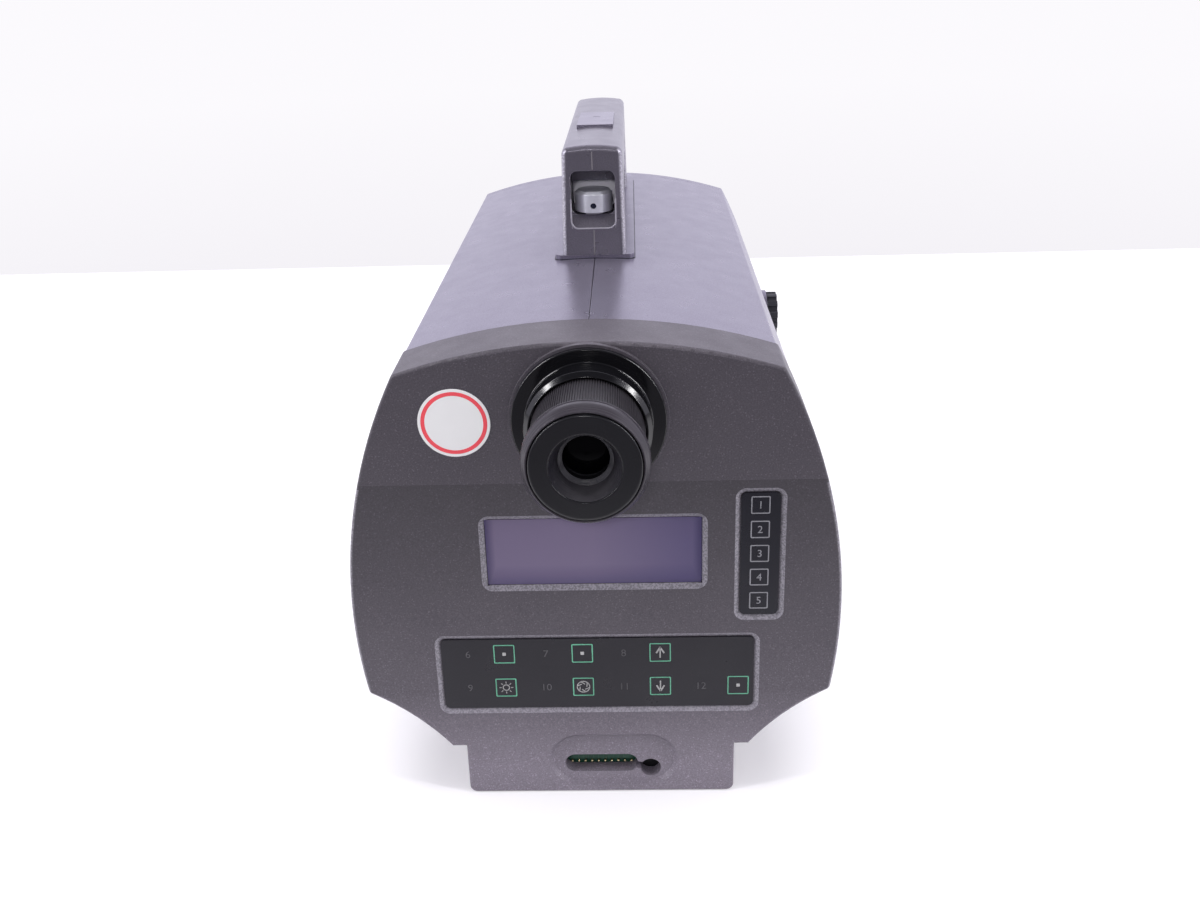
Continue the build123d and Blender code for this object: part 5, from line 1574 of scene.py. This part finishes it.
    def build(self) -> None:
        """Makes the pieces of the eyepiece."""
        ring, crisp, ribs = "dioptre", self.crisp_deg, self.rib_crisp_deg
        for name, skin, finish, body, stood_for, sharp_deg in (
            ("eyepiece_flange_ring", self.flange(), GLOSS_BLACK, "instrument", ("eyepiece_flange",), crisp),
            ("dioptre_grip", self.grip(), RIB_BLACK, ring, ("dioptre_ring",), ribs),
            ("eyepiece_rim", self.rim(), RIM_GREY, ring, ("eyecup_rim",), crisp),
            ("eyepiece_face", self.face_disc(), SATIN_BLACK, ring, (), crisp),
            ("eyepiece_cone", self.cone(), CONE_BLACK, ring, (), crisp),
            ("eye_lens_retainer", self.retainer(), SATIN_BLACK, "lens_cell", (), crisp),
        ):
            piece(name, skin, finish, body, stood_for, sharp_deg)


@dataclass
class RoundPlate:
    """The plain round plate on the upper panel: a white disc with a plain ring."""

    centre: Point = (-45.8, -140.0, 153.1)
    radius: float = 12.4
    ring: Flat = (10.0, 11.35)
    thickness: float = 0.22
    ring_thickness: float = 0.03
    edge_round: float = 0.08

    def build(self) -> None:
        """Makes the disc and its ring."""
        low, high = self.thickness, self.thickness + self.ring_thickness
        corners = [(0.0, 0.0), (self.radius, 0.0), (self.radius, low), (0.0, low)]
        disc = soften(corners, self.edge_round, 3, False)
        piece("round_plate", lathe(disc, self.centre, Axis.Y_OUT, 96, False), DISC_WHITE)
        inner, outer = self.ring
        band = np.array([(inner, low), (outer, low), (outer, high), (inner, high)])
        piece("round_plate_ring", lathe(band, self.centre, Axis.Y_OUT, 96), DISC_RED)


@dataclass
class HandleTrim:
    """Fine parts of the handle: moulding line, pale ridges round the scoops as painted highlight, bright plates
    on the pockets' back walls as painted light, and a dark band round the pad as painted shadow.
    """

    faces: tuple[Flat, ...] = ((-32.0, -1.0), (131.0, 1.0))
    line_size: Flat = (0.5, 0.11)
    line_spans: tuple[Flat, ...] = ((182.1, 192.2), (216.7, 223.6))
    edge_size: Flat = (0.65, 0.10)
    ridge_foot: float = -0.05
    scoop_half: float = 9.0
    scoop_span: Flat = (193.0, 205.0)
    scoop_radius: float = 3.0
    pocket_depth: float = 17.6
    liner: float = 0.06
    liner_half: float = 8.7
    liner_span: Flat = (198.2, 209.0)
    liner_radius: float = 2.8
    pad_half: Flat = (16.3, 82.35)
    pad_middle: float = 51.15
    pad_radius: float = 3.0
    roof_top: float = 180.4
    roof_radius: float = 207.0
    seam_section: tuple[Flat, ...] = ((-0.05, -0.2), (-0.05, 0.30), (0.45, 0.22), (0.45, -0.2))

    def ridge(self, size: Flat, x: np.ndarray, z: np.ndarray, face: Flat) -> Skin:
        """A low round ridge along a line on a face: half a circle scaled by its width and height.

        Args:
            size: Its width and height.
            x: The line's x.
            z: The line's z.
            face: The face's y and which way it looks.

        Returns:
            The skin.
        """
        (width, height), (face_y, way) = size, face
        top = spokes(np.linspace(0, math.pi, 7)) * [width / 2, height]
        foot = [[-width / 2, self.ridge_foot], [width / 2, self.ridge_foot]]
        section = np.concatenate([top, foot])
        return carried(section, np.stack([x, np.full(len(x), face_y), z], axis=1), (0, way, 0))

    def mould_line(self) -> Skin:
        """The moulding line above and below the near pocket."""
        heights = [np.linspace(low, high, 12) for low, high in self.line_spans]
        return Skin.joined([self.ridge(self.line_size, np.zeros(12), z, self.faces[0]) for z in heights])

    def scoop_edge(self) -> Skin:
        """A pale ridge round each scoop, a painted highlight on its rounded edge: down one side, round two
        corners and up the other.

        Returns:
            The skin.
        """
        half, radius, (low, high) = self.scoop_half, self.scoop_radius, self.scoop_span
        corner = spokes(np.linspace(0, math.pi / 2, 10)) * [radius, -radius] + [half - radius, low + radius]
        right = np.concatenate([[(half, high)], corner])
        x, z = np.concatenate([right, [(0.0, low)], right[::-1] * [-1, 1]]).T
        return Skin.joined([self.ridge(self.edge_size, x, z, face) for face in self.faces])

    def liners(self) -> Skin:
        """A thin bright plate on the back wall of each pocket, with round lower corners: painted light on the
        lit lower part of the wall, below the shadow of the mouth's top edge.

        Returns:
            The skin.
        """
        half, radius, (low, high) = self.liner_half, self.liner_radius, self.liner_span
        angle = np.linspace(math.pi / 2, 0, 8)
        corner = spokes(angle) * [radius, -radius] + [half - radius, low + radius]
        outer = np.concatenate([corner[::-1] * [-1, 1], corner, [(half, high), (-half, high)]])
        rows, heights = slab(outer, outer * POINT_SHARE + [0.0, (low + high) / 2], 0.0, self.liner)
        depths = [face_y - way * (self.pocket_depth - heights) for face_y, way in self.faces]
        return Skin.joined([grid_skin(np.stack([rows[..., 0], y, rows[..., 1]], axis=-1)) for y in depths])

    def pad_seam(self) -> Skin:
        """A dark band round the pad, a painted shadow of its edge, on the bowed roof: z = top - R + sqrt(R^2 -
        x^2) + height.

        Returns:
            The skin.
        """
        turn = spokes(once_round(48))
        middle = np.sign(np.round(turn, 9)) * (np.array(self.pad_half) - self.pad_radius)
        section = np.array(self.seam_section)
        flat = middle[None] + (self.pad_radius + section[:, :1, None]) * turn[None] + [0.0, self.pad_middle]
        roof = self.roof_top - self.roof_radius + np.sqrt(self.roof_radius ** 2 - flat[..., 0] ** 2)
        return grid_skin(np.concatenate([flat, (roof + section[:, 1:])[..., None]], axis=-1))

    def build(self) -> None:
        """Makes the pieces."""
        piece("handle_moulding_line", self.mould_line(), MOULD_LINE)
        # painted highlight on the scoops' rounded edges
        piece("handle_scoop_painted_highlight", self.scoop_edge(), SCOOP_HIGHLIGHT_PAINT)
        # painted light on the pockets' back walls
        piece("handle_pocket_painted_light", self.liners(), PAINTED_LIGHT_METAL)
        # painted shadow round the pad's edge
        piece("handle_pad_painted_shadow", self.pad_seam(), PAINTED_SHADOW_DARK)


@dataclass
class Contacts:
    """The spring contacts behind the slot, each a collar with a domed tip, and a black disc behind the hole as
    painted shade over the board.
    """

    plane: PanelPlane = PanelPlane()
    count: int = 10
    pitch: float = 2.54
    middle: Flat = (0.4, 10.4)
    back: float = 7.4
    length: float = 2.4
    tip_round: float = 0.5
    collar: Flat = (0.8, 0.9)
    radius: float = 0.55
    tip_share: float = 0.8
    disc_middle: Flat = (19.2, 9.8)
    disc_radius: float = 4.6
    disc_back: float = 7.38
    disc_thickness: float = 0.1

    def turned(self, profile: np.ndarray, middle: Flat, back: float, steps: int) -> Skin:
        """Turns an outline of (radius, rise) about a line into the panel.

        A point lies at (x, z) + r (cos a, sin a), and back - rise deep.

        Args:
            profile: Points by 2.
            middle: The line's x and z.
            back: Its depth at rise 0.
            steps: How many points go round.

        Returns:
            The skin.
        """
        flat = profile[:, :1, None] * spokes(once_round(steps)) + middle
        return grid_skin(self.plane.lay(flat, np.repeat(back - profile[:, 1:], steps, axis=1)), False)

    def build(self) -> None:
        """Makes the contacts and the disc in the panel's tilted plane."""
        tip_radius, (collar, tip_foot) = self.radius * self.tip_share, self.collar
        corners = [(0.0, self.length), (tip_radius, self.length), (tip_radius, tip_foot)]
        tip = soften(corners, self.tip_round, 5, False)
        foot = [(tip_radius, tip_foot), (self.radius, collar), (self.radius, 0.0), (0.0, 0.0)]
        profile = np.concatenate([tip[:-1], foot])
        across = (np.arange(self.count) - (self.count - 1) / 2) * self.pitch + self.middle[0]
        skins = [self.turned(profile, (x, self.middle[1]), self.back, 20) for x in across]
        piece("contact_tips", Skin.joined(skins), GOLD, replaces=("interface_pins",))
        radius, rise = self.disc_radius, self.disc_thickness
        disc = np.array([(0.0, rise), (radius, rise), (radius, 0.0), (0.0, 0.0)])
        # painted shade: a black disc behind the peg hole, in front of the board
        shade_disc = self.turned(disc, self.disc_middle, self.disc_back, 40)
        piece("peg_hole_painted_shade", shade_disc, PAINTED_SHADE_BLACK)


@dataclass
class Screws:
    """Pan-head screws with a cross recess: in the cover, under the base and inside."""

    head_radius: float = 3.5
    head_height: float = 2.4
    slump: float = 0.3
    steps: tuple[int, int] = (22, 72)
    shank_radius: float = 1.96
    tip: float = 0.8
    length: float = 12.0
    base_length: float = 9.0
    recess: tuple[float, float, float] = (0.62, 2.1, 1.5)
    case_places: tuple[Flat, ...] = ((53.985, 161.633), (70.8, 52.852))
    case_rows: Flat = (150.6, -111.7)
    base_places: tuple[Point, ...] = ((44.4, -92.7, 15.3), (44.4, 126.0, 15.3))
    rail_places: tuple[Point, ...] = ((31.0, -85.0, 56.0), (31.0, 120.0, 56.0))

    def head(self, centre: Point, axis: Axis, shank: float) -> Skin:
        """One screw; the axis points out of the head and the centre lies under it.

        The head's height is H (1 - s q^3) with q = r / R, less a cross of depth
        D clip(1 - (|across| / w)^4) clip(1 - (|along| / reach)^3) for the deeper of its two arms.

        Args:
            centre: The middle of the head's underside.
            axis: The directions across and out.
            shank: How long the shank is.

        Returns:
            The skin.
        """
        width, reach, depth = self.recess
        rings, steps = self.steps
        way = spokes(once_round(steps))
        radius = np.linspace(0, self.head_radius, rings)[:, None]
        flat = radius[..., None] * way
        arms = [
            np.clip(1 - (np.abs(a) / width) ** 4, 0, 1) * np.clip(1 - (np.abs(b) / reach) ** 3, 0, 1)
            for a, b in ((flat[..., 0], flat[..., 1]), (flat[..., 1], flat[..., 0]))
        ]
        dome = self.head_height * (1 - self.slump * (radius / self.head_radius) ** 3)
        height = dome - depth * np.maximum(*arms)
        head, shaft = self.head_radius, self.shank_radius
        rims = np.array([(head, 0.0), (shaft, 0.0), (shaft, self.tip - shank), (0.0, -shank)])[:, None]
        heights = np.repeat(rims[..., 1:], len(way), axis=1)
        lower = np.concatenate([rims[..., :1] * way, heights], axis=-1)
        local = np.concatenate([np.concatenate([flat, height[..., None]], axis=-1), lower])
        return grid_skin(np.array(centre, float) + local @ np.array(axis.value, float), False)

    def build(self) -> None:
        """Places all the case screws where the frame has them."""
        places = [((x, y, z), Axis.Y_FAR, self.length) for x, z in self.case_places for y in self.case_rows]
        places += [(place, Axis.Z_DOWN, self.base_length) for place in self.base_places]
        places += [(place, Axis.Z_UP, self.length) for place in self.rail_places]
        heads = Skin.joined([
            self.head((side * x, y, z), axis, shank) for (x, y, z), axis, shank in places for side in (-1, 1)
        ])
        piece("case_screw_heads", heads, STEEL, replaces=("case_screws",), sharp_deg=35)


@dataclass
class LensEnd:
    """Trim at the lens end: filter thread, focus scale, connector pins, jack posts and switch marks."""

    barrel_front: float = 58.0
    thread_radius: float = 31.0
    thread_span: Flat = (0.6, 3.7)
    thread_rise: Flat = (0.02, 0.42)
    thread_back: float = 0.05
    thread_count: int = 9
    scale_radius: float = 35.1
    scale_place: float = 31.0
    scale_height: float = 2.3
    scale_rise: Flat = (0.06, -0.05)
    scale_steps: Flat = (150.0, -40.0)
    scale_labels: tuple[str, ...] = ("1", "1.5", "2", "3", "5", "10", "30")
    socket: Point = (0.0, 153.9, 67.514)
    pin_outline: tuple[Flat, ...] = ((0.0, 5.0), (0.3, 4.8), (0.5, 4.3), (0.5, 0.0), (0.0, 0.0))
    pin_pitch: float = 2.77
    pin_row: float = 1.42
    post_out: float = 12.5
    post_lift: float = 0.1
    post_outline: tuple[Flat, ...] = (
        (0.0, 0.0), (2.9, 0.0), (2.9, 4.2), (2.4, 4.6), (1.5, 4.6), (1.3, 4.4), (1.3, 1.2), (0.0, 0.8),
    )
    rocker: Point = (-34.0, 151.6, 67.514)
    rocker_tilt: float = 8.0
    rocker_half: float = 8.5
    hollow_middle: float = 2.25
    hollow_rise: float = 0.75
    mark_half: float = 0.05
    mark_height: float = 5.0
    mark_round: float = 0.15
    ring_mark: Flat = (1.7, 1.35)
    bar_mark: Flat = (0.4, 3.4)

    def filter_thread(self) -> Skin:
        """The thread's rings: a zigzag wall inside the barrel's mouth, with a plain back.

        Returns:
            The skin.
        """
        count = 2 * self.thread_count + 1
        outs = self.barrel_front - np.linspace(*self.thread_span, count)
        out, rise = self.thread_rise
        radii = self.thread_radius + np.where(np.arange(count) % 2, -rise, out)
        behind = self.thread_radius + self.thread_back
        back = np.array([(behind, outs[-1]), (behind, outs[0])])
        return lathe(np.concatenate([np.stack([radii, outs], axis=1), back]), OBJECTIVE, Axis.Y_FAR, 160)

    def scale(self) -> list[Mesh]:
        """Distance numbers bent round the focus ring: x becomes angle, y the place along, z the rise.

        Returns:
            The numbers' meshes.
        """
        marks = []
        first, step = self.scale_steps
        for index, label in enumerate(self.scale_labels):
            mesh, points = flat_text(label, self.scale_height)
            angle = math.radians(first + index * step) - points[:, 0] / self.scale_radius
            radius = self.scale_radius + np.where(points[:, 2] > 0, *self.scale_rise)
            x, z = (radius[:, None] * spokes(angle)).T
            y = points[:, 1] + self.scale_place
            marks.append(laid(mesh, np.stack([x, y, z], axis=1) + OBJECTIVE))
        return marks

    def pins(self) -> Skin:
        """Nine pins in two rows inside the data connector.

        Returns:
            The skin.
        """
        x, y, z = self.socket
        rows = [
            (x + (index - (count - 1) / 2) * self.pin_pitch, z + rise)
            for count, rise in ((5, self.pin_row), (4, -self.pin_row)) for index in range(count)
        ]
        return Skin.joined([lathe(self.pin_outline, (at, y, up), Axis.Y_FAR, 16, False) for at, up in rows])

    def posts(self) -> Skin:
        """Two six-sided jack posts with a threaded hole.

        Returns:
            The skin.
        """
        x, y, z = self.socket
        places = [(x + side * self.post_out, y + self.post_lift, z) for side in (-1, 1)]
        return Skin.joined([lathe(self.post_outline, place, Axis.Y_FAR, 6, False) for place in places])

    def switch_marks(self) -> Skin:
        """A bar and a ring for on and off, on the rocker's hollow face: y = middle + rise (z / half)^2.

        Returns:
            The skin.
        """
        tilt = math.radians(self.rocker_tilt)
        bar = rounded_square(1.0, self.mark_round) * self.bar_mark
        rings = [circle(radius) for radius in self.ring_mark]
        skins = []
        for (outer, inner), z in ((rings, -self.mark_height), ((bar, bar * POINT_SHARE), self.mark_height)):
            rows, heights = slab(outer, inner, -self.mark_half, self.mark_half)
            up = rows[..., 1] + z
            out = heights + self.hollow_middle + self.hollow_rise * (up / self.rocker_half) ** 2
            y, z = out * math.cos(tilt) - up * math.sin(tilt), out * math.sin(tilt) + up * math.cos(tilt)
            skins.append(grid_skin(np.stack([rows[..., 0], y, z], axis=-1) + self.rocker))
        return Skin.joined(skins)

    def build(self) -> None:
        """Makes the trim of the lens end."""
        piece("filter_thread_rings", self.filter_thread(), LENS_BLACK, "barrel")
        piece("focus_scale", self.scale(), WHITE_INK, "focus")
        piece("connector_pins", self.pins(), GOLD)
        piece("connector_posts", self.posts(), STEEL, sharp_deg=25)
        piece("switch_marks", self.switch_marks(), WHITE_INK, "rocker")


@dataclass
class TripodThread:
    """The thread inside the tripod bush: a ridge that climbs with the angle."""

    radius: float = 3.175
    pitch: float = 1.27
    length: float = 11.0
    start: float = 0.9
    section: tuple[Flat, ...] = ((0.03, -0.5), (-0.42, -0.08), (-0.42, 0.08), (0.03, 0.5))

    def build(self) -> None:
        """Makes the ridge; its section is carried along (R cos a, R sin a, pitch a / 2 pi)."""
        turns, (rise, along) = self.length / self.pitch, np.array(self.section).T
        angle = np.linspace(0, 2 * math.pi * turns, int(turns * 40))[:, None]
        height = self.start + self.pitch * angle / (2 * math.pi) + along
        points = np.concatenate([(self.radius + rise)[:, None] * spokes(angle), height[..., None]], axis=-1)
        piece("tripod_thread_ridge", capped(points), BRASS)


def main() -> None:
    """Builds the scene in order."""
    logging.basicConfig(level=logging.INFO)
    for assembly in (
        Studio, CadFinishes, Eyepiece, KeyPrints, RoundPlate, HandleTrim, Contacts, Screws, LensEnd,
        TripodThread,
    ):
        assembly().build()
        LOG.info("%s done", assembly.__name__)


if __name__ == "__main__":
    main()
